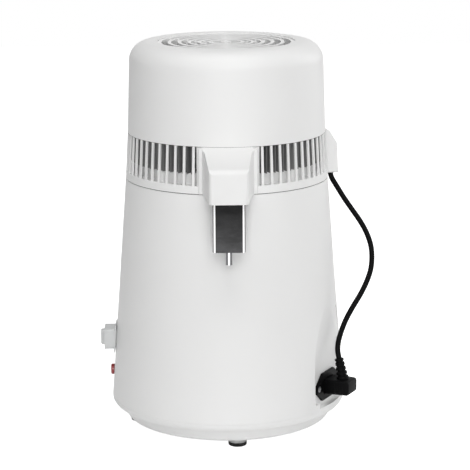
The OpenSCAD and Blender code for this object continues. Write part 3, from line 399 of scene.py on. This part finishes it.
# painted highlights: bright upright bands at the box's rounded corners
paintedHighlightBands(finishes["boxSteel"], [(0, 0), (12.2, 0), (12.6, 0.8), (13.7, 0.8), (14.1, 0.03), (15.2, 0.2)])
# painted highlights: a bright band down the tube's middle and a fainter one at its sides
paintedHighlightBands(finishes["tubeSteel"], [(0, 0.7), (0.7, 0.7), (1.1, 0), (2.4, 0), (3, 0.3)])

madeOf = {
    "whiteShell": ["boiler_housing", "head_dome", "vent_ring"],
    "grilleWhite": ["top_grille"],
    "baseShell": ["bottom_cover"],
    "footRubber": ["foot_1", "foot_2", "foot_3", "foot_4"],
    "switchGrey": ["switch_frame", "power_button"],
    "resetRed": ["reset_button"],
    "socketBlack": ["fan_socket", "mains_inlet", "lead_plug", "plug_boot"],
    "fanBlack": ["heat_cutout", "switch_body", "reset_bush", "fan_frame", "fan_rotor"],
    "leadRubber": ["gland_bush", "fan_lead"],
    "sealSilicone": ["head_gasket"],
    "terminalCeramic": ["terminal_block"],
    "potSteel": [
        "boiling_chamber", "steam_lid", "steam_port", "condenser_coil", "coil_bracket_1", "coil_bracket_2",
        "coil_bracket_3", "strainer",
    ],
    "screwSteel": [
        "base_screws", "plate_studs", "stud_nuts", "socket_screws", "inlet_pins", "inlet_screws",
        "fan_screws", "head_screws",
    ],
    "boxSteel": ["filter_box"],
    "tubeSteel": ["outlet_tube"],
    "elementSteel": ["heating_element"],
    "finAluminium": ["condenser_fins"],
    "plateAluminium": ["heat_plate"],
    "pinBrass": ["plug_pins"],
    "jacketFelt": ["insulating_jacket"],
    "sachetCloth": ["carbon_sachet"],
}
finishOf = {name: finish for finish, names in madeOf.items() for name in names}
for name, part in nodes.items():
    part.data.materials.clear()
    part.data.materials.append(finishes[finishOf[name]])
print("finishes made:", len(finishes))

for piece in (leadTop, leadFoot):
    piece.data.materials.append(finishes["leadRubber"])
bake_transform(leadTop)
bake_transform(leadFoot)
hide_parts("fan_lead")


# ways of shaping: each piece starts as a primitive and is worked in edit mode
def startEdit(piece):
    pick(piece)
    bpy.ops.object.mode_set(mode="EDIT")
    bpy.ops.mesh.select_all(action="DESELECT")


def endEdit():
    bpy.ops.object.mode_set(mode="OBJECT")


def settle(piece):
    # its place, turn and size go into the mesh
    pick(piece)
    bpy.ops.object.transform_apply(location=True, rotation=True, scale=True)


def selectFaces(piece, wanted):
    # wanted is asked with each face's normal
    bpy.ops.mesh.select_mode(type="FACE")
    bpy.ops.mesh.select_all(action="DESELECT")
    shape = bmesh.from_edit_mesh(piece.data)
    for face in shape.faces:
        if wanted(face.normal):
            face.select_set(True)
    bmesh.update_edit_mesh(piece.data)


def selectEdges(piece, wanted):
    # wanted is asked with the places of each edge's two ends
    bpy.ops.mesh.select_mode(type="EDGE")
    bpy.ops.mesh.select_all(action="DESELECT")
    shape = bmesh.from_edit_mesh(piece.data)
    for edge in shape.edges:
        if wanted(edge.verts[0].co, edge.verts[1].co):
            edge.select_set(True)
    bmesh.update_edit_mesh(piece.data)


def facesUp(normal):
    return normal.z > 0.9


def facesDown(normal):
    return normal.z < -0.9


def upright(a, b):
    return abs(a.z - b.z) > 0.01


def extrude(rise):
    bpy.ops.mesh.extrude_region_move(TRANSFORM_OT_translate={"value": (0, 0, rise / 1000)})


def widen(wide, deep, height=0):
    # what is selected grows in x and y about the axis
    bpy.ops.transform.resize(value=(wide, deep, 1), center_override=(0, 0, height / 1000))


def roundOff(radius, segments):
    bpy.ops.mesh.bevel(offset=radius / 1000, segments=segments, affect="EDGES")


def block(size, middle):
    # a box in mm whose mesh already holds its size and place
    bpy.ops.mesh.primitive_cube_add(size=1, location=mm(*middle), scale=mm(*size))
    piece = bpy.context.object
    settle(piece)
    return piece


def drawnUp(sections, sides):
    # a cylinder drawn up section by section, each a height, half width and half depth in mm
    (low, wide, deep), (high, highWide, highDeep) = sections[:2]
    bpy.ops.mesh.primitive_cylinder_add(vertices=sides, radius=wide / 1000, depth=(high - low) / 1000,
                                        location=(0, 0, (low + high) / 2000))
    piece = bpy.context.object
    startEdit(piece)
    bpy.ops.mesh.select_all(action="SELECT")
    widen(1, deep / wide, low)
    selectFaces(piece, facesUp)
    widen(highWide / wide, highDeep / deep, high)
    for (z, wide, deep), (nextZ, nextWide, nextDeep) in zip(sections[1:], sections[2:]):
        extrude(nextZ - z)
        widen(nextWide / wide, nextDeep / deep, nextZ)
    endEdit()
    settle(piece)
    return piece


def turned(profile, sides):
    # a round piece, its profile heights and radii in mm
    return drawnUp([(z, radius, radius) for z, radius in profile], sides)


def applyAll(piece):
    pick(piece)
    for modifier in list(piece.modifiers):
        bpy.ops.object.modifier_apply(modifier=modifier.name)


def cutAway(piece, cutter):
    cut = piece.modifiers.new("cut", "BOOLEAN")
    cut.operation, cut.object, cut.solver = "DIFFERENCE", cutter, "EXACT"
    applyAll(piece)
    bpy.data.objects.remove(cutter)


def easeEdges(piece, width, segments, angle):
    edges = piece.modifiers.new("softEdges", "BEVEL")
    edges.width, edges.segments = width / 1000, segments
    edges.limit_method, edges.angle_limit = "ANGLE", math.radians(angle)


def joined(pieces):
    pick(pieces[0])
    for piece in pieces:
        piece.select_set(True)
    bpy.ops.object.join()
    return bpy.context.object


def placedCopies(piece, places):
    # each copy has its own mesh, and the first one is used up
    copies = []
    for place in places:
        twin = piece.copy()
        twin.data = piece.data.copy()
        scene.collection.objects.link(twin)
        twin.matrix_world = place
        copies.append(twin)
    bpy.data.objects.remove(piece)
    return joined(copies)


def facing(azimuth, distance, height):
    # the frame of a fitting on the wall: x runs along the wall, y up and z outward
    x, y = outwardAt(azimuth)
    place = Matrix(((-y, x, 0), (0, 0, 1), (x, y, 0))).transposed().to_4x4()
    place.translation = roundPoint(azimuth, distance, height)
    return place


def handOver(piece, name, finish, body, replaced=None, smoothBelow=32, outward=True):
    # place goes into the mesh, normals outward, then finish, body and the node it stands for
    settle(piece)
    if outward:
        startEdit(piece)
        bpy.ops.mesh.select_all(action="SELECT")
        bpy.ops.mesh.remove_doubles(threshold=0.000002)
        bpy.ops.mesh.normals_make_consistent(inside=False)
        endEdit()
    pick(piece)
    bpy.ops.object.shade_smooth_by_angle(angle=math.radians(smoothBelow))
    piece.name = piece.data.name = name
    piece.data.materials.clear()
    piece.data.materials.append(finishes[finish])
    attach(piece, body)
    if replaced:
        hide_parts(replaced)


# the small mouldings' edges are eased where they stand, the triangles welded first
easedEdges = {
    "switch_frame": 0.6, "power_button": 0.7, "reset_button": 0.35, "fan_socket": 0.4, "mains_inlet": 0.4,
    "filter_box": 0.3, "reset_bush": 0.2, "terminal_block": 0.4,
}
for name, width in easedEdges.items():
    weld = nodes[name].modifiers.new("weld", "WELD")
    weld.merge_threshold = 0.000005
    easeEdges(nodes[name], width, segments=2, angle=40)

# angled plug on the fan lead: a rounded block with a sleeve round its pins
anglePlug = {
    "azimuth": 62, "distance": 112, "height": 48.5,
    "bodySize": (24, 15, 23), "bodyRound": 2.6, "bodyTaper": (0.94, 0.9), "frontRound": 0.6,
    "sleeveSize": (21, 13, 18.5), "sleeveSunk": 1, "sleeveClip": 2, "sleeveWall": 1.3, "sleeveDepth": 15,
    "gripCount": 3, "gripStart": 9, "gripPitch": 3.2, "gripSize": (1.2, 10, 1.5), "gripSunk": 0.7,
    "gripRound": 0.5,
}
plugWide, _, plugLong = anglePlug["bodySize"]
plugBlock = block(anglePlug["bodySize"], (0, 0, plugLong / 2))
startEdit(plugBlock)
selectFaces(plugBlock, facesUp)
widen(*anglePlug["bodyTaper"], plugLong)
selectEdges(plugBlock, lambda a, b: max(a.z, b.z) > 0.001)  # all but those round its front
roundOff(anglePlug["bodyRound"], 5)
selectEdges(plugBlock, lambda a, b: max(a.z, b.z) < 0.0001)  # those round its front
roundOff(anglePlug["frontRound"], 2)
endEdit()
plugGrips = []
for side in (-1, 1):
    for k in range(anglePlug["gripCount"]):
        gripMiddle = (side * (plugWide / 2 - anglePlug["gripSunk"]), 0,
                      anglePlug["gripStart"] + k * anglePlug["gripPitch"])
        grip = block(anglePlug["gripSize"], gripMiddle)
        easeEdges(grip, anglePlug["gripRound"], segments=3, angle=35)
        applyAll(grip)
        plugGrips.append(grip)
plugSleeve = block(anglePlug["sleeveSize"], (0, 0, anglePlug["sleeveSunk"] - anglePlug["sleeveSize"][2] / 2))
startEdit(plugSleeve)
selectEdges(plugSleeve, lambda a, b: upright(a, b) and a.y > 0)
roundOff(anglePlug["sleeveClip"], 1)
selectFaces(plugSleeve, facesDown)
bpy.ops.mesh.inset(thickness=anglePlug["sleeveWall"] / 1000)
extrude(anglePlug["sleeveDepth"])
endEdit()
plugBody = joined([plugBlock, plugSleeve] + plugGrips)
plugBody.matrix_world = facing(anglePlug["azimuth"], anglePlug["distance"], anglePlug["height"])
handOver(plugBody, "anglePlugBody", "socketBlack", "plug", "lead_plug")

# strain relief boot: a taper with four collars and a lip at the lead
strainBoot = {
    "profile": [
        (-2.5, 5.2), (-0.6, 5.8), (1.8, 5.75), (2.2, 5.4), (2.4, 4.4), (3.9, 4.3), (4.1, 5.3), (6.4, 5.2),
        (6.7, 4.9), (6.9, 4.1), (8.4, 4.0), (8.6, 4.95), (10.9, 4.85), (11.2, 4.6), (11.4, 3.85),
        (13.0, 3.8), (13.2, 4.6), (15.5, 4.5), (15.8, 4.25), (16.0, 3.6), (17.4, 3.5), (17.6, 4.3),
        (18.9, 4.4), (19.4, 4.1), (19.45, 3.0),
    ],
    "sides": 36,
}
plugBoot = turned(strainBoot["profile"], strainBoot["sides"])
plugBoot.matrix_world = Matrix.Translation(bootFoot) @ bootAxis.to_track_quat("Z", "Y").to_matrix().to_4x4()
handOver(plugBoot, "strainReliefBoot", "socketBlack", "plug", "plug_boot", smoothBelow=40)
print("plug and boot shaped")


def fourFromBelow(first, distance, height):
    # quarter turns apart, each with its head down
    return [
        Matrix.Translation(roundPoint(first + 90 * k, distance, height)) @ Matrix.Rotation(math.pi, 4, "X")
        for k in range(4)
    ]


def flangePair(azimuth):
    # the two screws of a socket's flange, each 20 mm from its middle
    middle = facing(azimuth, distance=107, height=48)
    return [middle @ Matrix.Translation(mm(aside, 0, 0)) for aside in (-20, 20)]


# screws with a driver's cross, one of each kind modelled and then copied to its places
driverCross = {"width": 0.8, "depth": 1.2, "taper": (0.45, 0.7)}
countersunk = {
    "body": "boiler", "top": 2.5, "reach": 3.4,
    "profile": [(-8, 0.8), (-6.8, 1.4), (1.1, 1.4), (2.42, 3.0), (2.5, 2.9)],
}
crossScrews = {
    "baseScrews": {
        "replaces": "base_screws", "body": "boiler", "top": 2.0, "reach": 3.4,
        "profile": [
            (-18, 0.9), (-16.5, 1.6), (0, 1.6), (0.01, 3.1), (0.7, 3.05), (1.4, 2.6), (1.85, 1.9), (2, 1.2),
        ],
        "places": fourFromBelow(20, 92.6, 11),
    },
    "headScrews": {
        "replaces": "head_screws", "body": "head", "top": 2.2, "reach": 3.4,
        "profile": [
            (-26, 0.9), (-24.5, 1.5), (0, 1.5), (0.01, 3), (0.9, 2.95), (1.6, 2.5), (2.05, 1.8), (2.2, 1.2),
        ],
        "places": fourFromBelow(45, 87.6, 271.8),
    },
    "fanScrews": {
        "replaces": "fan_screws", "body": "head", "top": 2.4, "reach": 3.8,
        "profile": [
            (-29, 1.0), (-27.5, 1.6), (0, 1.6), (0.01, 3.6), (0.9, 3.55), (1.8, 2.9), (2.25, 2.1), (2.4, 1.4),
        ],
        "places": fourFromBelow(45, 74.246, 337),
    },
    "socketScrews": {**countersunk, "replaces": "socket_screws", "places": flangePair(62)},
    "inletScrews": {**countersunk, "replaces": "inlet_screws", "places": flangePair(180)},
}
for name, kind in crossScrews.items():
    screw = turned(kind["profile"], 24)
    for turn in (0, 90):
        cutter = block((kind["reach"], driverCross["width"], 2 * driverCross["depth"]), (0, 0, kind["top"]))
        startEdit(cutter)
        selectFaces(cutter, facesDown)
        widen(*driverCross["taper"])
        endEdit()
        cutter.rotation_euler.z = math.radians(turn)
        bpy.context.view_layer.update()
        cutAway(screw, cutter)
    screws = placedCopies(screw, kind["places"])
    handOver(screws, name, "screwSteel", kind["body"], kind["replaces"], smoothBelow=30)
print("screws cut and copied")

# condenser tube: rises from the steam port, two loops round the fins and down to the outlet
condenser = {
    "diameter": 9.5, "sides": 20, "loopRadius": 61, "topZ": 282, "lowZ": 266,
    "portZ": 249.6, "bendDrop": 12,
    "runOut": [(15, 12), (15, 40), (16, 54), (21, 60)],  # azimuth and distance at the upper loop's height
    "upperLoop": (27, 343, 9), "stepDown": (350, 370), "lowerLoop": (379, 691, 9),  # azimuths, and their step
    # forward from the lower loop to the outlet: x, y and how far below the loop
    "runForward": [(-14, -62.5, 0.4), (-4, -72, 1), (0, -86, 2), (0, -106, 3), (0, -125, 4), (0, -125, 12)],
    "outlet": (0, -125, 248.1),
}
topZ, lowZ, loopRadius = condenser["topZ"], condenser["lowZ"], condenser["loopRadius"]
rise = [mm(0, 0, z) for z in (condenser["portZ"], topZ - condenser["bendDrop"], topZ)]
rise += [roundPoint(azimuth, distance, topZ) for azimuth, distance in condenser["runOut"]]
loops = [roundPoint(azimuth, loopRadius, topZ) for azimuth in range(*condenser["upperLoop"])]
stepStart, stepEnd = condenser["stepDown"]
for azimuth in range(stepStart, stepEnd + 1, 5):
    t = (azimuth - stepStart) / (stepEnd - stepStart)
    loops.append(roundPoint(azimuth, loopRadius, topZ - (topZ - lowZ) * t * t * (3 - 2 * t)))
loops += [roundPoint(azimuth, loopRadius, lowZ) for azimuth in range(*condenser["lowerLoop"])]
drain = [mm(x, y, lowZ - below) for x, y, below in condenser["runForward"]] + [mm(*condenser["outlet"])]
tubePath = roundedRoute(rise, 3) + loops + roundedRoute(drain, 3)
condenserTube = sweptTube("condenserTube", tubePath, condenser["diameter"] / 1000, condenser["sides"])
handOver(condenserTube, "condenserTube", "potSteel", "head", "condenser_coil", smoothBelow=50)
print("condenser tube bent")

# cooling fins: thin plates close together round both loops of the tube
coolingFins = {
    "count": 92, "first": 44, "last": 328, "inner": 45.5, "outer": 82, "low": 258.4, "high": 289.6,
    "thickness": 0.4, "holeRadius": 5.1, "holeSides": 8, "brackets": (91.3, 194.6, 289.3), "bracketGap": 1,
}
finLong, finHigh = coolingFins["outer"] - coolingFins["inner"], coolingFins["high"] - coolingFins["low"]
fin = block((finLong, coolingFins["thickness"], finHigh),
            (coolingFins["inner"] + finLong / 2, 0, coolingFins["low"] + finHigh / 2))
for z in (lowZ, topZ):
    bpy.ops.mesh.primitive_cylinder_add(
        vertices=coolingFins["holeSides"], radius=coolingFins["holeRadius"] / 1000, depth=0.02,
        location=mm(loopRadius, 0, z), rotation=(math.pi / 2, 0, 0))
    cutAway(fin, bpy.context.object)
finStep = (coolingFins["last"] - coolingFins["first"]) / (coolingFins["count"] - 1)
finTurns = [coolingFins["first"] + k * finStep for k in range(coolingFins["count"])]
finTurns = [
    a for a in finTurns
    if min(abs(a - bracket) for bracket in coolingFins["brackets"]) > coolingFins["bracketGap"]
]
fins = placedCopies(fin, [Matrix.Rotation(math.radians(a - 90), 4, "Z") for a in finTurns])
handOver(fins, "coolingFins", "finAluminium", "head", "condenser_fins", smoothBelow=20,
         outward=False)
print("fins stacked:", len(finTurns))


def ringWall(inner, thickness, low, high, steps, rows=0):
    # a bare outline, with no face that would stay inside, spun once round the axis
    piece = block((thickness, 0.01, high - low), (inner + thickness / 2, 0, (low + high) / 2))
    startEdit(piece)
    bpy.ops.mesh.select_all(action="SELECT")
    bpy.ops.mesh.delete(type="ONLY_FACE")
    bpy.ops.mesh.select_all(action="SELECT")
    bpy.ops.mesh.remove_doubles(threshold=0.00002)
    bpy.ops.mesh.select_all(action="SELECT")
    bpy.ops.mesh.spin(steps=steps, angle=2 * math.pi, center=(0, 0, 0), axis=(0, 0, 1))
    bpy.ops.mesh.select_all(action="SELECT")
    bpy.ops.mesh.remove_doubles(threshold=0.00002)
    bpy.ops.mesh.delete_loose()
    bpy.ops.mesh.select_all(action="SELECT")
    bpy.ops.mesh.normals_make_consistent(inside=False)
    for k in range(1, rows):
        bpy.ops.mesh.select_all(action="SELECT")
        z = (low + (high - low) * k / rows) / 1000
        bpy.ops.mesh.bisect(plane_co=(0, 0, z), plane_no=(0, 0, 1))
    endEdit()
    return piece


# insulating jacket: a felt sleeve round the pot, its ends lapped, held by two tin straps
feltJacket = {
    "inner": 89.4, "thickness": 3.1, "low": 81.5, "high": 234.5, "steps": 120, "rows": 40,
    "waviness": 0.35, "waveSize": 20, "lapSize": (16, 1.0, 150), "lapProud": 0.3, "lapRound": 0.4,
    "strapHeights": (112, 204), "strapWidth": 9, "strapThickness": 0.4, "strapGap": 0.35,
}
felt = ringWall(feltJacket["inner"], feltJacket["thickness"], feltJacket["low"], feltJacket["high"],
                feltJacket["steps"], feltJacket["rows"])
feltOuter = feltJacket["inner"] + feltJacket["thickness"]
feltLap = block(feltJacket["lapSize"], (0, -feltOuter - feltJacket["lapProud"],
                                        (feltJacket["low"] + feltJacket["high"]) / 2))
easeEdges(feltLap, feltJacket["lapRound"], segments=3, angle=35)
applyAll(feltLap)
felt = joined([felt, feltLap])
waves = bpy.data.textures.new("feltWaves", "CLOUDS")
waves.noise_scale = feltJacket["waveSize"] / 1000
swell = felt.modifiers.new("waves", "DISPLACE")
swell.texture, swell.strength = waves, feltJacket["waviness"] / 1000
applyAll(felt)
handOver(felt, "feltJacket", "jacketFelt", "boiler", "insulating_jacket", smoothBelow=50)
strapHalf = feltJacket["strapWidth"] / 2
straps = [
    ringWall(feltOuter + feltJacket["strapGap"], feltJacket["strapThickness"], z - strapHalf, z + strapHalf,
             feltJacket["steps"])
    for z in feltJacket["strapHeights"]
]
handOver(joined(straps), "jacketStraps", "screwSteel", "boiler")
print("jacket wrapped")

# carbon sachet: a filled pouch pinched to a sealed seam at each end
sachet = {
    "middle": (0, -126), "sides": 48, "rounding": 2,
    # height, half width and half depth
    "sections": [
        (208.2, 12.2, 0.45), (210.9, 12.2, 0.45), (211.7, 12.3, 1.7), (213.2, 12.5, 5.6),
        (215.6, 12.6, 9.2), (218.8, 12.7, 11.5), (222.4, 12.7, 12.3), (226.2, 12.7, 12.1),
        (229.8, 12.6, 11.0), (232.8, 12.5, 8.6), (235.0, 12.4, 5.2), (236.4, 12.3, 1.7),
        (237.2, 12.2, 0.45), (239.6, 12.2, 0.45),
    ],
}
pouch = drawnUp(sachet["sections"], sachet["sides"])
rounded = pouch.modifiers.new("rounded", "SUBSURF")
rounded.levels = rounded.render_levels = sachet["rounding"]
applyAll(pouch)
pouch.matrix_world = Matrix.Translation(mm(*sachet["middle"], 0))
handOver(pouch, "sachetPouch", "sachetCloth", "filter", "carbon_sachet", smoothBelow=60)
print("sachet filled")

# vent ring: the solid's own form with its ribs thinned from inside and the hood's edges eased
ventRing = {
    "ribInner": 91.4, "low": 251.6, "high": 289.4, "ribLowOuter": 95.8, "ribHighOuter": 93.8, "steps": 130,
    "plateRadius": 98.7, "plateSides": 256,
    "hoodHalf": 23.2, "hoodFillet": 12, "hoodLow": 240, "hoodHigh": 292,
    "flareWide": 40, "flareDeep": 70, "flareY": -120, "flareFront": -110,
    "postsFrom": 250, "postRing": (82.5, 92.2), "hoodTurn": 0.5,  # where the painted shade on the screw posts goes: above this height, within this ring, clear of the hood
}
ringShell = nodes["vent_ring"].copy()
ringShell.data = nodes["vent_ring"].data.copy()
ringShell.parent = None
scene.collection.objects.link(ringShell)
ringShell.matrix_world = Matrix.Identity(4)
startEdit(ringShell)
bpy.ops.mesh.select_all(action="SELECT")
bpy.ops.mesh.remove_doubles(threshold=0.000003)
bpy.ops.mesh.customdata_custom_splitnormals_clear()
endEdit()

ribInner, ribOuter = ventRing["ribInner"], ventRing["ribLowOuter"]
ribCut = ringWall(ribInner, ribOuter - ribInner, ventRing["low"], ventRing["high"], ventRing["steps"])
ribMiddle = mm((ribInner + ribOuter) / 2, 0, (ventRing["low"] + ventRing["high"]) / 2)
startEdit(ribCut)
selectEdges(ribCut, lambda a, b: min(a.z, b.z) > ribMiddle.z and min(a.xy.length, b.xy.length) > ribMiddle.x)
narrow = ventRing["ribHighOuter"] / ribOuter
widen(narrow, narrow)
endEdit()
cutAway(ringShell, ribCut)
hoodHalf = ventRing["hoodHalf"]
hoodMiddle = (ventRing["hoodLow"] + ventRing["hoodHigh"]) / 2
flareSize = (ventRing["flareWide"], ventRing["flareDeep"], ventRing["hoodHigh"] - ventRing["hoodLow"])
flareX = hoodHalf + ventRing["flareWide"] / 2
for side in (-1, 1):
    flareCut = block(flareSize, (side * flareX, ventRing["flareY"], hoodMiddle))
    bpy.ops.mesh.primitive_cylinder_add(
        vertices=ventRing["plateSides"], radius=ventRing["plateRadius"] / 1000, depth=0.2,
        location=mm(0, 0, hoodMiddle))
    cutAway(flareCut, bpy.context.object)
    startEdit(flareCut)
    selectEdges(flareCut, lambda a, b: upright(a, b) and abs(a.x - b.x) < 0.0001
                and abs(abs(a.x) - hoodHalf / 1000) < 0.0002 and a.y > ventRing["flareFront"] / 1000)
    roundOff(ventRing["hoodFillet"], 8)
    endEdit()
    cutAway(ringShell, flareCut)
handOver(ringShell, "ventRingShell", "whiteShell", "head", "vent_ring", smoothBelow=28,
         outward=False)
ringShell.data.materials.append(finishes["shadedPost"])
postInner, postOuter = ventRing["postRing"]
for face in ringShell.data.polygons:
    spot = face.center * 1000
    besideHood = abs(math.atan2(spot.x, -spot.y)) > ventRing["hoodTurn"]
    if besideHood and spot.z > ventRing["postsFrom"] and postInner < spot.xy.length < postOuter:
        face.material_index = 1  # painted shade: the screw posts' upper faces take a darkened copy of the white

# inner louvre, an assumed piece: upright blades on the collar that hide the inside and let air out; their
# dark grey is painted shade for the view through the slots
louvre = {
    "count": 130, "shift": 0.25, "inner": 83.4, "outer": 92.7, "low": 262.45, "high": 288.9, "thickness": 0.6,
    "cornerRound": 4, "hoodGap": 19, "leadGap": (91, 109), "posts": (45, 135, 225, 315), "postGap": 3.6,
}
bladeSize = (louvre["outer"] - louvre["inner"], louvre["thickness"], louvre["high"] - louvre["low"])
bladeMiddle = ((louvre["inner"] + louvre["outer"]) / 2, 0, (louvre["low"] + louvre["high"]) / 2)
blade = block(bladeSize, bladeMiddle)
middle = mm(*bladeMiddle)
startEdit(blade)
selectEdges(blade, lambda a, b: max(a.x, b.x) < middle.x and min(a.z, b.z) > middle.z)
roundOff(louvre["cornerRound"], 3)
endEdit()


def hasBlade(azimuth):
    # none behind the hood, the lead's gland or a screw post
    clearOfLead = not louvre["leadGap"][0] < azimuth < louvre["leadGap"][1]
    clearOfPosts = min(abs(azimuth - post) for post in louvre["posts"]) > louvre["postGap"]
    return louvre["hoodGap"] < azimuth < 360 - louvre["hoodGap"] and clearOfLead and clearOfPosts


bladeTurns = [(k + louvre["shift"]) * 360 / louvre["count"] for k in range(louvre["count"])]
bladePlaces = [Matrix.Rotation(math.radians(a - 90), 4, "Z") for a in bladeTurns if hasBlade(a)]
blades = placedCopies(blade, bladePlaces)
handOver(blades, "innerLouvre", "louvreGrey", "head", smoothBelow=20, outward=False)
print("vent ring eased")

# painted shade: a dark ring in the parting line under the ring, and a thin dark band at the seam under the
# dome, stand for the shadow in those joints
jointShades = {
    "partingSeal": {"inner": 95.6, "thickness": 1.7, "low": 244.5, "high": 245.0, "steps": 144},
    "domeSeam": {"inner": 95.2, "thickness": 0.26, "low": 288.9, "high": 289.12, "steps": 144},
}
for name, jointShade in jointShades.items():
    handOver(ringWall(**jointShade), name, "sealBlack", "head")

# studio: white sweep, big soft lamps
studio = {
    "floorSize": 6.0,
    "floorColor": 0.88,
    "floorGlow": 0.9,  # added only where it is seen, so the floor is white and its shadow stays
    "worldStrength": 0.14,
    "lamps": [
        # name, place, aims at, width and height, power
        ("overheadSoftbox", (0.0, -0.8, 3.2), (0, 0, 0.25), (2.2, 2.2), 46),
        ("frontSoftbox", (0.06, -3.1, 1.3), (0, 0, 0.25), (1.3, 1.8), 47),
        ("rightBackSoftbox", (2.0, 1.1, 0.7), (0, 0, 0.2), (1.0, 1.0), 14),
    ],
}


def seenBy(owner, *rays):
    # 1 for a ray of one of these kinds, otherwise 0
    kinds = node(owner, "ShaderNodeLightPath").outputs
    seen = kinds[rays[0]]
    for ray in rays[1:]:
        seen = reckoned(owner, "MAXIMUM", seen, kinds[ray])
    return seen


bpy.ops.mesh.primitive_plane_add(size=studio["floorSize"], location=(0, 0, 0))
floor = bpy.context.object
floor.name = "studioFloor"
paper = newMaterial("floorPaper", (studio["floorColor"],) * 3, 0.9, specular=0.1)
glowing = reckoned(paper, "MULTIPLY", seenBy(paper, "Is Camera Ray", "Is Glossy Ray"), studio["floorGlow"])
glow = node(paper, "ShaderNodeEmission", {"Color": (1, 1, 1, 1), "Strength": glowing})
both = node(paper, "ShaderNodeAddShader", {0: shaderOf(paper).outputs["BSDF"], 1: glow.outputs["Emission"]})
link(paper, both.outputs["Shader"], paper.node_tree.nodes["Material Output"].inputs["Surface"])
floor.data.materials.append(paper)

world = bpy.data.worlds.new("studioWorld")
scene.world = world
world.use_nodes = True
background = world.node_tree.nodes["Background"]
background.inputs["Color"].default_value = (1, 1, 1, 1)
backdropSeen = seenBy(world, "Is Camera Ray", "Is Glossy Ray", "Is Transmission Ray")
link(world, remap(world, backdropSeen, studio["worldStrength"], 1.0), background.inputs["Strength"])
for name, place, target, size, power in studio["lamps"]:
    bpy.ops.object.light_add(type="AREA", location=place)
    lamp = bpy.context.object
    lamp.name = name
    lamp.data.shape = "RECTANGLE"
    lamp.data.size, lamp.data.size_y = size
    lamp.data.energy = power
    lamp.rotation_euler = (Vector(target) - Vector(place)).to_track_quat("-Z", "Y").to_euler()
scene.view_settings.view_transform = "Standard"
print("studio lit")
